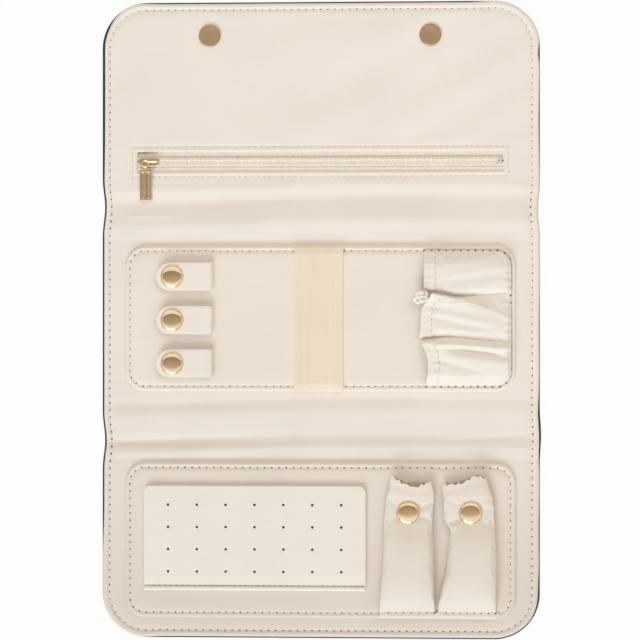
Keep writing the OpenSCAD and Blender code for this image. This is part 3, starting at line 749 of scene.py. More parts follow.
def sew(name, spots, surface, pitch=STITCH_PITCH, hole=0.60, thread=0.32):
    """A row of stitches on a surface: a thread on each spot and a needle hole of painted shade between two."""
    threads, holes = [], []
    for number, (x, y, angle) in enumerate(spots):
        stray = 0.08 * math.sin(number * 2.4)
        dx, dy = math.cos(angle), math.sin(angle)
        threads.append((x - dy * stray, y + dx * stray, surface(x, y) + 0.05, angle + 0.5 * stray))
        hx, hy = x + dx * pitch / 2, y + dy * pitch / 2
        holes.append((hx, hy, surface(hx, hy), angle))
    points, faces, slots = merge([
        balls(threads, (pitch / 2 - 0.35, thread, 0.20)), balls(holes, (hole, hole * 0.85, 0.16))])
    return mesh_object(name, points, faces, THREAD, HOLE_SHADE, slots=slots, sharp=0)


# ---- The case: cover and lining ----

MAGNET_R = 6.0              # radius of the magnets and of their catches
SIDE_PINCH = 1.3            # how far the case's sides draw in at its spines
# Each sheet's lowest and highest y, the two bodies that it joins, and the two y values of its fold.
SHEETS = {
    "flap": (UPPER_SPINE_Y, HALF_L, "upper_spine", "flap", 72.5, 81.7),
    "upper": (CENTRE_Y, UPPER_SPINE_Y, "centre", "upper_spine", 41.5, 54.0),
    "lower": (LOWER_SPINE_Y, CENTRE_Y, "centre", "lower_spine", -46.0, -60.0),
    "base": (-HALF_L, LOWER_SPINE_Y, "lower_spine", "base", -67.0, -77.8),
}
RIM = [0, 0.12, 0.3, 0.55, 0.85, 1.3, 1.9, 2.6, 3.2, 3.6, 4.0, 4.4, 4.9, 5.6, 6.6, 8.0, 9.5]


def draw_in(x, y):
    """How far a point near the case's side moves inwards beside the spines."""
    def beside(centre):
        return (np.cos(np.clip((y - centre) / 16, -1, 1) * np.pi) + 1) / 2

    left = SIDE_PINCH * beside(62) + SIDE_PINCH * beside(-66)
    right = SIDE_PINCH * 0.8 * beside(60) - 0.7 * beside(-63)
    return left * smooth(104, 120, -x) - right * smooth(104, 120, x)


def lip(x, y):
    """How far the lining's edge stays inside the cover's: it differs along the edge."""
    left = 0.3 + 0.85 * smooth(-135, -100, y) + 0.45 * smooth(60, 110, y)
    right = 0.15 + hills([
        (1.0, -58, 20), (0.45, -115, 18), (0.85, -152, 15), (0.7, 146, 5), (0.45, 108, 22),
        (0.3, -8, 20)], y)
    top = 0.2 + 0.65 * smooth(-108, -86, x) * smooth(95, 80, x)
    low = 0.2 + 0.6 * smooth(-100, -86, x)
    side = np.where(x < 0, left, right)
    ends = np.where(y > 0, top, low)
    return side + (ends - side) * smooth(HALF_L - 16, HALF_L - 2, np.abs(y))


def folds(x, y):
    """The soft relief of the lining: ridges and valleys at the spines and ripples on the flap."""
    uneven = 1 + 0.22 * np.sin(x / 23 + 0.7) * np.sin(x / 61)
    drift = 1.2 * np.sin(x / 47 + 1.0) + 0.008 * x
    v = y - drift
    upper = hills([(1.15, 53.0, 5.2), (-1.0, 66.0, 4.2), (0.5, 72.5, 2.6)], v)
    upper = upper - 0.30 * bump(43.0, 1.8, y)
    fading = 0.5 + 0.5 * smooth(20, -60, x)
    lower = hills([(0.75, -51.5, 5.4), (-0.5, -44.4, 2.6), (-0.95 * fading, -64.5, 3.4),
                   (0.75, -70.6, 2.8)], v)
    lower = lower - 0.3 * bump(-76.4, 1.2, y)
    left = smooth(30, 105, -x)
    sharp = creases([
        (0.42, (-107, 56.8), (-80, 57.8), 1.0), (-0.35, (70, -66), (112, -63.0), 1.6)], x, y)
    sharp = sharp - 0.7 * left * bump(-63.5, 1.6, y - 0.03 * x)
    on_flap = smooth(94, 104, y) * smooth(170, 158, y)
    slant = y - 0.36 * x
    ripples = 0.62 * np.sin(slant / 7.4 + 0.9 * np.sin(x / 41)) * (0.55 + 0.45 * np.sin(x / 27 + 1))
    ripples = ripples + 0.26 * np.sin((y - 0.6 * x) / 4.3 + 2) * smooth(-40, 90, x)
    ripples = ripples - 0.5 * ridge(x, y, (66, 152), (75, 112), 1.5) * smooth(60, 66, x)
    beside = 0.12 * np.sin(y / 7.7) * smooth(109, 114, np.abs(x)) * smooth(118, 114, np.abs(x))
    return (upper + lower) * uneven + sharp + ripples * on_flap + beside


def sewn_edge(inset):
    """The lining's height near its edge: turned over, full up to its stitches, then sunk there."""
    return follow([
        (0, -1.15), (0.12, -0.80), (0.3, -0.50), (0.55, -0.26), (0.85, -0.10), (1.3, 0.04),
        (1.9, 0.08), (2.6, 0.00), (3.2, -0.28), (3.6, -0.58), (4.0, -0.76), (4.4, -0.64),
        (4.9, -0.42), (5.6, -0.22), (6.6, -0.08), (8, 0)], inset)


def window_edge(x, y):
    """The lining's height near the zip window: rounded down at the edge, sunk at its stitches."""
    out = np.maximum(np.abs(x) - WINDOW_HALF_L, np.abs(y - ZIP_Y) - WINDOW_HALF_W)
    edge = -0.45 * smooth(0.9, 0.0, out)
    return edge + hills([(-0.35, WINDOW_STITCH, 0.7), (0.28, 1.3, 0.8)], out)


def lining_inset(x, y):
    """How far a point lies inside the case's outline."""
    return rim_inset(x, y, CASE_CORNER, -CASE_CORNER, CORNER_R)


def lining_top(x, y):
    """The height of the lining at a point, counted from the outline before its sides draw in."""
    inset = lining_inset(x, y)
    calm = smooth(3.5, 9, inset)
    return LINING_Z + sewn_edge(inset) + window_edge(x, y) + folds(x, y) * (0.45 + 0.55 * calm)


def lining_height(x, y):
    """The height of the lining at one point."""
    return float(lining_top(np.array(x), np.array(y)))


def case_grid(low_y, high_y):
    """Grid points over a stretch of the case, between two heights of y."""
    window_x = [side * (WINDOW_HALF_L + out) for side in (-1, 1) for out in WINDOW_RIM]
    window_y = [ZIP_Y + side * (WINDOW_HALF_W + out) for side in (-1, 1) for out in WINDOW_RIM]
    borders = [UPPER_SPINE_Y, CENTRE_Y, LOWER_SPINE_Y]
    x_lines = lines(-HALF_W, HALF_W, 2.0, RIM, stops=window_x)
    y_lines = lines(-HALF_L, HALF_L, 1.25, RIM, CORNER_R, stops=[*window_y, *borders])
    y_lines = y_lines[(y_lines >= low_y - 1e-6) & (y_lines <= high_y + 1e-6)]
    return rounded_grid(CASE_CORNER, -CASE_CORNER, CORNER_R, x_lines, y_lines)


def pull_to_lip(x, y):
    """Moves the outer points of the lining inwards, so that the cover shows past its edge."""
    inset = lining_inset(x, y)
    share = smooth(6, 0, inset) * lip(x, y)
    mid_x = np.clip(x, -(HALF_W - CORNER_R), HALF_W - CORNER_R)
    mid_y = np.clip(y, -(HALF_L - CORNER_R), HALF_L - CORNER_R)
    dx, dy = x - mid_x, y - mid_y
    corner = (np.abs(dx) > 1e-6) & (np.abs(dy) > 1e-6)
    far = np.maximum(np.hypot(dx, dy), 1e-6)
    near_side = HALF_W - np.abs(x) < HALF_L - np.abs(y)
    nx = np.where(corner, dx / far, np.where(near_side, np.sign(x), 0))
    ny = np.where(corner, dy / far, np.where(near_side, 0, np.sign(y)))
    return x - nx * share, y - ny * share


def lining_place(x, y):
    """Where a point of the flat outline ends up in plan."""
    moved_x, moved_y = pull_to_lip(x, y)
    return moved_x + draw_in(x, y), moved_y


def cross_fold(piece, sheet):
    """Bakes a piece's place into its mesh."""
    _, _, first, second, start, end = SHEETS[sheet]
    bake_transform(piece)


def finish_sheet(piece, sheet, slot, nodes):
    """Bakes a sheet's place into its mesh and hides the CAD nodes that it stands for."""
    low_y, high_y, *_ = SHEETS[sheet]
    cross_fold(piece, sheet)
    dress(piece, slot, *nodes)


def make_lining():
    replaced = {
        "flap": ["lining_flap"],
        "upper": ["lining_upper_spine", "pad_upper_spine", "lining_centre"],
        "lower": ["lining_lower_spine", "pad_lower_spine", "pad_centre"],
        "base": ["lining_base", "pad_base"],
    }
    for sheet, (low_y, high_y, *_) in SHEETS.items():
        x, y = case_grid(low_y, high_y)
        top = lining_top(x, y)
        under = top - 0.75 + 0.2 * smooth(1.0, 0.0, lining_inset(x, y))
        mid_x, mid_y = cell_middles(x, y)
        keep = (np.abs(mid_x) > WINDOW_HALF_L) | (np.abs(mid_y - ZIP_Y) > WINDOW_HALF_W)
        placed_x, placed_y = lining_place(x, y)
        piece = shell("inner_cloth_" + sheet, placed_x, placed_y, top, under, LINING, keep)
        finish_sheet(piece, sheet, "lining_suede", replaced[sheet])


def make_cover():
    """The velvet outside: flat underneath, with its edge turned up and in under the lining."""
    catch_x, catch_y = corners("catch_discs")[1][0] - MAGNET_R, middle_of("catch_discs")[1]
    replaced = {
        "flap": ["cover_flap"],
        "upper": ["cover_upper_spine", "cover_centre"],
        "lower": ["cover_lower_spine"],
        "base": ["cover_base"],
    }
    top_profile = [(0, 1.25), (0.12, 1.65), (0.3, 1.95), (0.55, 2.15), (0.85, 2.2), (1.9, 2.2),
                   (3.2, 1.9), (4.9, 1.2), (6.6, 0.9)]
    low_profile = [(0, 1.05), (0.12, 0.68), (0.3, 0.42), (0.55, 0.22), (0.85, 0.10), (1.3, 0.03),
                   (1.9, 0)]
    for sheet, (low_y, high_y, *_) in SHEETS.items():
        x, y = case_grid(low_y, high_y)
        inset = lining_inset(x, y)
        dimple = bump(0, 7.5, np.hypot(np.abs(x) - catch_x, y - catch_y))
        top, under = follow(top_profile, inset), follow(low_profile, inset) + 0.22 * dimple
        piece = shell("outer_velvet_" + sheet, x + draw_in(x, y), y, top, under, VELVET)
        finish_sheet(piece, sheet, "cover_velvet", replaced[sheet])


def make_edge_stitches():
    """Stitches round the whole case and round the zip window."""
    low = CASE_CORNER + EDGE_STITCH
    spots = round_path(low, -low, CORNER_R - EDGE_STITCH)
    for sheet, (low_y, high_y, *_) in SHEETS.items():
        here = [spot for spot in spots if low_y < spot[1] <= high_y]
        placed = []
        for x, y, angle in here:
            moved_x, moved_y = lining_place(np.array(x), np.array(y))
            placed.append((float(moved_x), float(moved_y), angle))
        surface = edge_surface(here, placed)
        piece = sew("edge_stitches_" + sheet, placed, surface, hole=EDGE_HOLES[sheet])
        cross_fold(piece, sheet)
        dress(piece, "lining_suede")
    half = np.array([WINDOW_HALF_L, WINDOW_HALF_W]) + WINDOW_STITCH
    middle = np.array([0, ZIP_Y])
    around = round_path(middle - half, middle + half, 0.6, WINDOW_PITCH)
    piece = sew("zip_stitches", around, lining_height, WINDOW_PITCH, hole=0.26, thread=0.2)
    cross_fold(piece, "flap")
    dress(piece, "lining_suede")


def edge_surface(here, placed):
    """The lining's height under stitches whose places were moved inwards with the edge."""
    heights = {
        (round(moved_x, 3), round(moved_y, 3)): lining_height(x, y)
        for (x, y, _), (moved_x, moved_y, _) in zip(here, placed)}

    def surface(x, y):
        known = heights.get((round(x, 3), round(y, 3)))
        return lining_height(x, y) if known is None else known
    return surface


# ---- Raised panels ----

def panel_rise(inset):
    """A panel's height over the lining: a rolled rim, a sewn groove and a soft flat middle."""
    return follow([
        (0, -0.5), (0.12, 0.4), (0.3, 0.9), (0.55, 1.3), (0.85, 1.6), (1.3, 1.86), (1.9, 1.92),
        (2.4, 1.72), (2.8, 1.45), (3.0, 1.36), (3.3, 1.46), (3.8, 1.84), (4.6, 2.16), (6.6, 2.42),
        (9.5, 2.5)], inset)


def panel_top(low, high):
    """The height function of one raised panel."""
    def surface(x, y):
        inset = rim_inset(x, y, low[:2], high[:2], PANEL_R)
        sag = 0.10 * np.sin(x / 17 + y / 29) * np.sin(y / 13 + 1) * smooth(4, 12, inset)
        pucker = 0.05 * np.sin((x + y) * 2 * np.pi / STITCH_PITCH) * bump(3.0, 1.2, inset)
        return LINING_Z + panel_rise(inset) + sag + pucker
    return surface


ROLLS_REACH = (33, 98.5)    # the rolls' own seam takes the place of the panel's stitches here
PANEL_RIM = [0, 0.12, 0.3, 0.55, 0.85, 1.3, 1.9, 2.4, 2.8, 3.0, 3.3, 3.8, 4.6, 5.6, 7.0, 9.0]
CENTRE_TOP = panel_top(*CENTRE_PANEL)
BASE_TOP = panel_top(*BASE_PANEL)


def make_panel(name, body, low, high, surface, nodes):
    """One padded panel. Gives the spots for the stitches round it."""
    x_lines = lines(low[0], high[0], 2.5, PANEL_RIM)
    y_lines = lines(low[1], high[1], 2.0, PANEL_RIM, PANEL_R)
    x, y = rounded_grid(low[:2], high[:2], PANEL_R, x_lines, y_lines)
    piece = shell(name, x, y, surface(x, y), LINING_Z - PANEL_DEEP, PANEL, sharp=60)
    place(piece, body, "lining_suede", *nodes)
    inner_low, inner_high = low[:2] + PANEL_STITCH, high[:2] - PANEL_STITCH
    return round_path(inner_low, inner_high, PANEL_R - PANEL_STITCH)


def centre_stitch_z(x, y):
    """The height of the centre panel's stitches, which also hold the band and the pockets."""
    low, high = corners("elastic_band")
    height = float(CENTRE_TOP(x, y))
    if low[0] - 0.5 < x < high[0] + 0.5:
        return height + BAND_THICK + 0.04
    if x > POCKET_LOW[0] and y > POCKET_LOW[1] - 4:
        return height + 1.05
    return height


def make_panels():
    spots = make_panel(
        "centre_panel_pad", "centre", *CENTRE_PANEL, CENTRE_TOP,
        ["centre_panel", "centre_panel_foam"])
    place(sew("centre_panel_stitches", spots, centre_stitch_z), "centre", "lining_suede")
    spots = make_panel(
        "base_panel_pad", "base", *BASE_PANEL, BASE_TOP, ["base_panel", "base_panel_foam"])
    left, right = ROLLS_REACH
    shown = [(x, y, turn) for x, y, turn in spots
             if y >= BASE_PANEL[0][1] + 4 or not left < x < right]
    place(sew("base_panel_stitches", shown, BASE_TOP), "base", "lining_suede")


# ---- Elastic band ----

BAND_THICK = 0.62


def make_band():
    low, high = corners("elastic_band")
    back = 0.15                 # how far the band's ends stay inside the panel's edge
    edge_low, edge_high = CENTRE_PANEL[0][1] + back, CENTRE_PANEL[1][1] - back
    x_lines = lines(low[0], high[0], 1.0, [0, 0.1, 0.25, 0.5, 0.9])
    y_lines = lines(edge_low, edge_high, 2.0, [0, 0.15, 0.3, 0.55, 0.9, 1.4, 2, 2.8, 3.8, 5])
    x, y = np.meshgrid(x_lines, y_lines)
    mid, half = (low[0] + high[0]) / 2, (high[0] - low[0]) / 2
    inset = np.minimum(y - edge_low, edge_high - y)
    bridge = LINING_Z + panel_rise(inset + back)
    flat = smooth(1.2, 4.0, inset)
    bridge = bridge * (1 - flat) + (PANEL_Z + 0.05) * flat
    selvedge = 0.12 * smooth(half - 1.6, half - 0.9, np.abs(x - mid))
    selvedge = selvedge - 0.35 * smooth(half - 0.35, half, np.abs(x - mid))
    waist = 1 - 0.018 * np.sin(np.clip((y - edge_low) / (edge_high - edge_low), 0, 1) * np.pi)
    top = bridge + BAND_THICK + selvedge
    piece = shell("elastic_strap", mid + (x - mid) * waist, y, top, top - BAND_THICK, ELASTIC)
    place(piece, "centre", "elastic", "elastic_band")


# ---- Snaps ----

CAP_R = 6.25
CAP_H = 2.0
SOCKET_H = 1.2


def cap_profile(height):
    """A domed snap cap with a rolled rim, from its flat underside up."""
    dome = [
        ((CAP_R - 0.42) * math.sin(a), height * (0.36 + 0.64 * math.cos(a)))
        for a in np.radians([76, 64, 52, 41, 31, 21, 12, 3])]
    rim = [(CAP_R - 0.7, 0), (CAP_R - 0.2, 0.08), (CAP_R, 0.32), (CAP_R - 0.05, 0.62),
           (CAP_R - 0.22, 0.74), (CAP_R - 0.40, 0.55), (CAP_R - 0.52, 0.50)]
    return [(0.4, 0), *rim, *dome]


def make_cap(name, body, node, socket_low):
    """A snap's upper half: the domed cap over the cloth and the socket under it."""
    x, y, _ = middle_of(node)
    cap_z = corners(node)[1][2] - CAP_H
    cap = lathe(cap_profile(CAP_H), x, y, cap_z)
    socket = lathe([
        (2.0, 0.25), (2.6, 0.02), (4.2, 0), (4.7, 0.25), (4.7, 0.8), (3.4, 1.0),
        (2.4, SOCKET_H)], x, y, socket_low)
    socket_top = socket_low + SOCKET_H
    neck = lathe([(1.4, 0), (1.4, cap_z - socket_top + 0.3)], x, y, socket_top - 0.1, 16)
    points, faces, _ = merge([cap, socket, neck])
    piece = mesh_object(name, points, faces, GOLD, sharp=55)
    place(piece, body, "gold_metal", node)


# ---- Necklace tabs ----

TAB_HALF = 0.4              # half the thickness of a tab's cloth


def make_tab(number):
    """One strap: its lower layer is sewn to the panel, and it bends back over that to the snap."""
    base_low, _ = corners(f"tab_base_{number}")
    strap_low, strap_high = corners(f"tab_strap_{number}")
    axis = pivot(f"tab_{number}_open")
    mid_y, half = axis[1], (strap_high[1] - strap_low[1]) / 2
    left = strap_low[0]
    low_z, high_z = base_low[2] + TAB_HALF, strap_high[2] - TAB_HALF
    bend_r = (high_z - low_z) / 2
    bend_x = axis[0] - bend_r - 0.3
    flat_l = bend_x - left
    run = np.concatenate([
        half * (1 - np.cos(np.radians(np.arange(0, 91, 7.5)))),
        np.arange(half + 1, flat_l - 1, 1.5)])
    over = [(left + t, high_z + 0.25 * math.sin(t / 7) * (1 - t / flat_l), t) for t in run]
    bend = [
        (bend_x + bend_r * math.cos(a), axis[2] + bend_r * math.sin(a), flat_l)
        for a in np.radians(np.arange(90, -91, -12))]
    lower = [(bend_x - t, low_z, flat_l) for t in np.arange(2, flat_l - 9, 2.5)]
    path = np.array([*over, *bend, *lower])
    one_side = [0.25, 0.5, 0.75, 0.88, 0.95, 0.985, 1]
    across = np.array([*(-at for at in reversed(one_side)), 0, *one_side])
    deep = np.maximum(0, half - path[:, 2])
    reach = np.sqrt(np.maximum(half**2 - deep**2, 0.01))
    y = mid_y + np.outer(reach, across)
    x, z = (np.repeat(path[:, [column]], len(across), axis=1) for column in (0, 1))
    step = np.gradient(path[:, :2], axis=0)
    step = step / np.linalg.norm(step, axis=1)[:, None]
    round_off = TAB_HALF * (1 - 0.45 * smooth(0.9, 1.0, np.abs(across)))
    off_x, off_z = np.outer(-step[:, 1], round_off), np.outer(step[:, 0], round_off)
    _, faces = shell_parts(x, y, z, z)
    points = np.concatenate([
        flat_points(x + off_x, y, z + off_z), flat_points(x - off_x, y, z - off_z)])
    piece = mesh_object(f"tab_{number}_cloth", points, faces, LEAF)
    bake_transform(piece)
    dress(piece, "lining_suede", f"tab_base_{number}", f"tab_strap_{number}")
    make_cap(f"tab_{number}_cap", f"tab_{number}", f"tab_snap_{number}", high_z - 1.6)


# ---- Gathered pockets ----

POCKET_LOW, POCKET_HIGH = corners("pocket_1", "pocket_2", "pocket_3")
SEAM_LOW = CENTRE_PANEL[0][:2] + PANEL_STITCH
SEAM_HIGH = CENTRE_PANEL[1][:2] - PANEL_STITCH
SEAM_R = PANEL_R - PANEL_STITCH
SEAM_TUCK = 0.3             # how far the pockets' cloth goes past the middle of the seam
MOUTH = [(-36.5, 58.4), (-32, 59.0), (-26, 59.7), (-20, 59.0), (-14.5, 57.0), (-10.4, 55.2),
         (-4, 55.5), (4, 55.8), (10, 56.6), (14.6, 57.0), (19, 57.2), (26, 57.3), (38.5, 57.2)]
LOWER_SEAM = [(54, -10.5), (60, -9.9), (69, -9.3), (80, -10.1), (92, -11.3), (106, -11.9)]
UPPER_SEAM = [(54, 16.4), (61, 15.9), (67, 14.5), (74, 13.2), (88, 13.8), (106, 15.1)]
UPPER_FOLD = [(54, 15.6), (61.5, 14.2), (75, 11.6), (85, 9.0), (95, 5.3), (106, 0.6)]
KNOT_CORNER = 4.6           # how far the middle pocket's upper corner stands back from the knot
CASING = 6.4                # width of the sewn channel for the elastic at the pockets' mouth
CASING_PITCH = 3.1          # of the channel's stitches
POCKET_MOUTH_X = 56.0


def seam_between(number, x):
    """The y of the line between two pockets, or of the first and last pocket's outer seam."""
    if number == 0:
        return np.full_like(x, SEAM_LOW[1] - SEAM_TUCK)
    if number == len(POCKETS):
        return np.full_like(x, SEAM_HIGH[1] + SEAM_TUCK)
    return curve_through(LOWER_SEAM if number == 1 else UPPER_SEAM, x)


def pocket_end(y):
    """The x of the pockets' sewn end, which follows the panel's rounded corners."""
    deep = np.maximum(0, SEAM_R - np.minimum(y - SEAM_LOW[1], SEAM_HIGH[1] - y))
    inward = SEAM_R - np.sqrt(np.maximum(SEAM_R**2 - np.minimum(deep, SEAM_R) ** 2, 0))
    return SEAM_HIGH[0] + SEAM_TUCK - inward


def upper_pocket(x, y, low, high, s):
    """Pocket 1: a smooth flat bag, higher along its lower side."""
    full = 3.9 - 1.6 * smooth(0.0, 1.0, s)
    pinch = 0.40 - 0.40 * bump(0.38, 0.30, s)
    height = full * (0.30 + 0.70 * smooth(0, 9.0, high - y)) * smooth(0, 1.6, high - y)
    height = height * (pinch + (1 - pinch) * smooth(0, 1.3, y - low))
    return height + creases([
        (0.35, (72, 24.5), (104, 29.5), 2.2), (-0.40, (70, 20.5), (104, 25.5), 2.2),
        (0.15, (64, 30), (96, 34), 2.5)], x, y)


def middle_pocket(x, y, low, high, s):
    """Pocket 2: a sharp fold runs aslant from its upper corner, with a deep hollow behind it."""
    fold_y = curve_through(UPPER_FOLD, x)
    fold_h = 6.4 - 4.2 * smooth(0.0, 1.05, s)
    flat_h = 4.6 - 2.4 * smooth(0.1, 1.0, s)
    pinch = 0.55 * smooth(0.05, 0.40, s)
    behind = np.clip((y - fold_y) / np.maximum(high - fold_y, 0.4), 0, 1)
    before = smooth(0, 7.5, fold_y - y)
    height = np.where(
        y > fold_y, fold_h * (1 - behind**0.8), fold_h + (flat_h - fold_h) * before)
    height = height + 0.35 * np.exp(-np.abs(y - fold_y) / 0.8)
    height = height * (pinch + (1 - pinch) * smooth(0, 1.8, y - low))
    return height + creases([
        (0.5, (60, 4.5), (96, -2.5), 2.2), (-0.45, (62, 1.5), (92, -5), 1.8),
        (0.4, (62, -4.5), (86, -7.0), 1.4)], x, y)


def lower_pocket(x, y, low, high, s):
    """Pocket 3: open at its upper corner, with a short fold and a hollow under it."""
    full = 5.6 - 2.5 * smooth(0.05, 1.0, s)
    pinch = 0.60 * smooth(0.05, 0.40, s)
    height = full * smooth(0, 6.5, y - low) ** 0.8
    height = height * (pinch + (1 - pinch) * smooth(0, 2.2, high - y))
    return height + creases([
        (1.3, (64, -13.4), (104, -15.7), 1.4), (-2.3, (73, -15.6), (100, -19.4), 1.6, 0.3),
        (0.7, (72, -20.0), (104, -24.5), 2.4), (-0.45, (63, -21), (92, -30), 1.8),
        (0.4, (60, -28), (84, -33), 1.8)], x, y)


POCKETS = [("pocket_3", lower_pocket), ("pocket_2", middle_pocket), ("pocket_1", upper_pocket)]


def pocket_height(number, x, y, mouth, end):
    """One pocket's height over the panel."""
    s = np.clip((x - mouth) / (end - mouth), 0, 1)
    low, high = seam_between(number, x), seam_between(number + 1, x)
    height = POCKETS[number][1](x, y, low, high, s)
    height = height * (1 - 0.75 * smooth(2.2, 0, end - x))
    from_mouth = x - mouth
    gathers = 0.10 * np.sin(y * 1.7 + 1.3 * np.sin(y * 0.6)) * smooth(11, 2, from_mouth)
    puckers = 0.16 * np.sin(y * 1.55 + 0.4 * number) * smooth(7, 1, end - x)
    casing = 0.22 * smooth(CASING + 0.2, CASING - 0.8, from_mouth)
    casing = casing - 0.30 * bump(CASING, 0.5, from_mouth)
    lift = smooth(0, 0.8, height)
    return np.maximum(height, 0) + (gathers + puckers + casing) * lift


def pocket_grid(number):
    """Grid points over one pocket, and its height there."""
    low_0, high_0 = (seam_between(n, np.array(POCKET_MOUTH_X)) for n in (number, number + 1))
    first = [0, 0.006, 0.015, 0.03]
    rows = np.array([*first, *np.linspace(0.05, 0.95, 44), 0.97, 0.985, 0.994, 1])
    share = np.array([*first, *np.linspace(0.045, 0.97, 62), 0.985, 0.995, 1])
    first_y = low_0 + (high_0 - low_0) * rows
    mouth = curve_through(MOUTH, first_y)[:, None]
    if number == 1:
        mouth = mouth + KNOT_CORNER * smooth(5.5, 15.5, first_y)[:, None]
    end = pocket_end(first_y)[:, None]
    x = mouth + (end - mouth) * share[None, :]
    low, high = seam_between(number, x), seam_between(number + 1, x)
    y = low + (high - low) * rows[:, None]
    return x, y, pocket_height(number, x, y, mouth, end)


def relax_grid(x, y, z, hold, pressure, grow, cap):
    """As settle, for a grid of points."""
    faces = grid_cells(x.shape).reshape(-1, 4)
    points = settle(flat_points(x, y, z), faces, hold.ravel(), pressure, grow, cap)
    return tuple(points[:, axis].reshape(x.shape) for axis in range(3))


def make_pockets():
    """Three gathered pockets in one row, sewn into the panel's rim and open at the left."""
    for number, (name, _) in enumerate(POCKETS):
        x, y, height = pocket_grid(number)
        groove = CENTRE_TOP(x, y) - PANEL_Z
        top = PANEL_Z + 0.15 + height + np.minimum(groove, 0) * smooth(1.5, 0, height)
        rows, columns = np.indices(x.shape)
        edge = np.minimum(np.minimum(rows, x.shape[0] - 1 - rows), x.shape[1] - 1 - columns)
        hold = np.where(edge < 2, 1.0, 0.0)
        hold = np.maximum(hold, 0.92 * (columns < 10))
        x, y, top = relax_grid(x, y, top, hold, pressure=1.2, grow=0.018, cap=0.7)
        fold_in = 0.35 * (columns == 0)
        top = np.maximum(top, PANEL_Z - PANEL_DEEP) + 0.45
        under = np.maximum(top - 0.75 + fold_in, PANEL_Z - 0.75)
        piece = shell(f"{name}_cloth", x, y, top - fold_in, under, LEAF)
        nodes = [name] + (["pocket_elastics"] if number == 0 else [])
        place(piece, "centre", "lining_suede", *nodes)
        sew_casing(name, x, y, top)
    make_knot()


def sew_casing(name, x, y, top):
    """Stitches beside the elastic's channel, on the cloth as it lies."""
    column = int(np.argmin(np.abs(x[20] - x[20, 0] - CASING)))
    spots = spaced_along(np.stack([x[:, column], y[:, column]], axis=-1)[4:-4], CASING_PITCH)

    def surface(px, py):
        return float(top.ravel()[np.argmin((x - px) ** 2 + (y - py) ** 2)])
    piece = sew(f"{name}_stitches", spots, surface, CASING_PITCH, hole=0.3, thread=0.2)
    place(piece, "centre", "lining_suede")


def make_knot():
    """The frayed end of the elastic, knotted between the upper two pockets."""
    knot = np.array([56.4, 12.7, PANEL_Z + 5.4])
    loops = (
        (1.9, 0.35, (-2.0, -1.5, 0.0)), (1.7, -0.5, (0.8, 1.2, 0.5)), (1.6, 0.2, (-1.3, 1.3, 0.8)),
        (1.8, -0.3, (0.6, -0.8, 1.0)))
    parts = []
    t = full_turn(26)
    for size, lean, shift in loops:
        ring = np.stack([
            size * np.cos(t), size * 0.9 * np.sin(t) * math.cos(lean),
            size * np.sin(t) * math.sin(lean) + 0.3 * np.sin(3 * t)], axis=-1)
        parts.append(tube(knot + ring + shift, 1.0, 8, closed=True))
    reach = np.linspace(0, 1, 7)
    for strand in range(9):
        angle = 1.6 + 0.40 * strand
        path = np.stack([
            (1.8 + 2.4 * reach) * np.cos(angle + 0.25 * reach),
            (1.8 + 2.2 * reach) * np.sin(angle + 0.25 * reach),
            0.5 - 2.0 * reach**2 + 0.2 * np.sin(3 * strand + 4 * reach)], axis=-1)
        parts.append(tube(knot + path, 0.28, 5))
    points, faces, slots = merge(parts)
    slots = np.greater_equal(slots, len(loops))
    piece = mesh_object("pocket_knot", points, faces, LEAF, THREAD, slots=slots, sharp=0)
    place(piece, "centre", "elastic")


# ---- Earring leaf ----

LEAF_R = 4.5                # radius of the leaf's two upper corners
HOLES_TOP_Y = -101.2
HOLE_PITCH_X = 15.87
HOLE_PITCH_Y = 12.2
HOLE_R = 0.75
HOLE_CELL = 1.7             # half the side of the square of cloth round a hole
HOLE_SIDES = 16
HOLE_COLLARS = 8            # faces between a hole and its square, above and below
HOLE_DIP = 0.12             # how far the cloth is pressed in at a hole
HEM_PITCH = 3.2             # of the stitches in the leaf's hem


def leaf_holes():
    """The middles of the earring holes: four rows of seven."""
    mid_x = middle_of("earring_leaf")[0]
    return [
        (mid_x + HOLE_PITCH_X * (i - 3), HOLES_TOP_Y - HOLE_PITCH_Y * j)
        for j in range(4) for i in range(7)]


def holed_cells(x, y, holes):
    """Which of a grid's cells stay, and each hole's cell."""
    mid_x, mid_y = cell_middles(x, y)
    keep = np.ones(mid_x.shape, bool)
    cells = []
    for hx, hy in holes:
        cell = np.unravel_index(np.argmin((mid_x - hx) ** 2 + (mid_y - hy) ** 2), keep.shape)
        keep[cell] = False
        cells.append(cell)
    return keep, cells


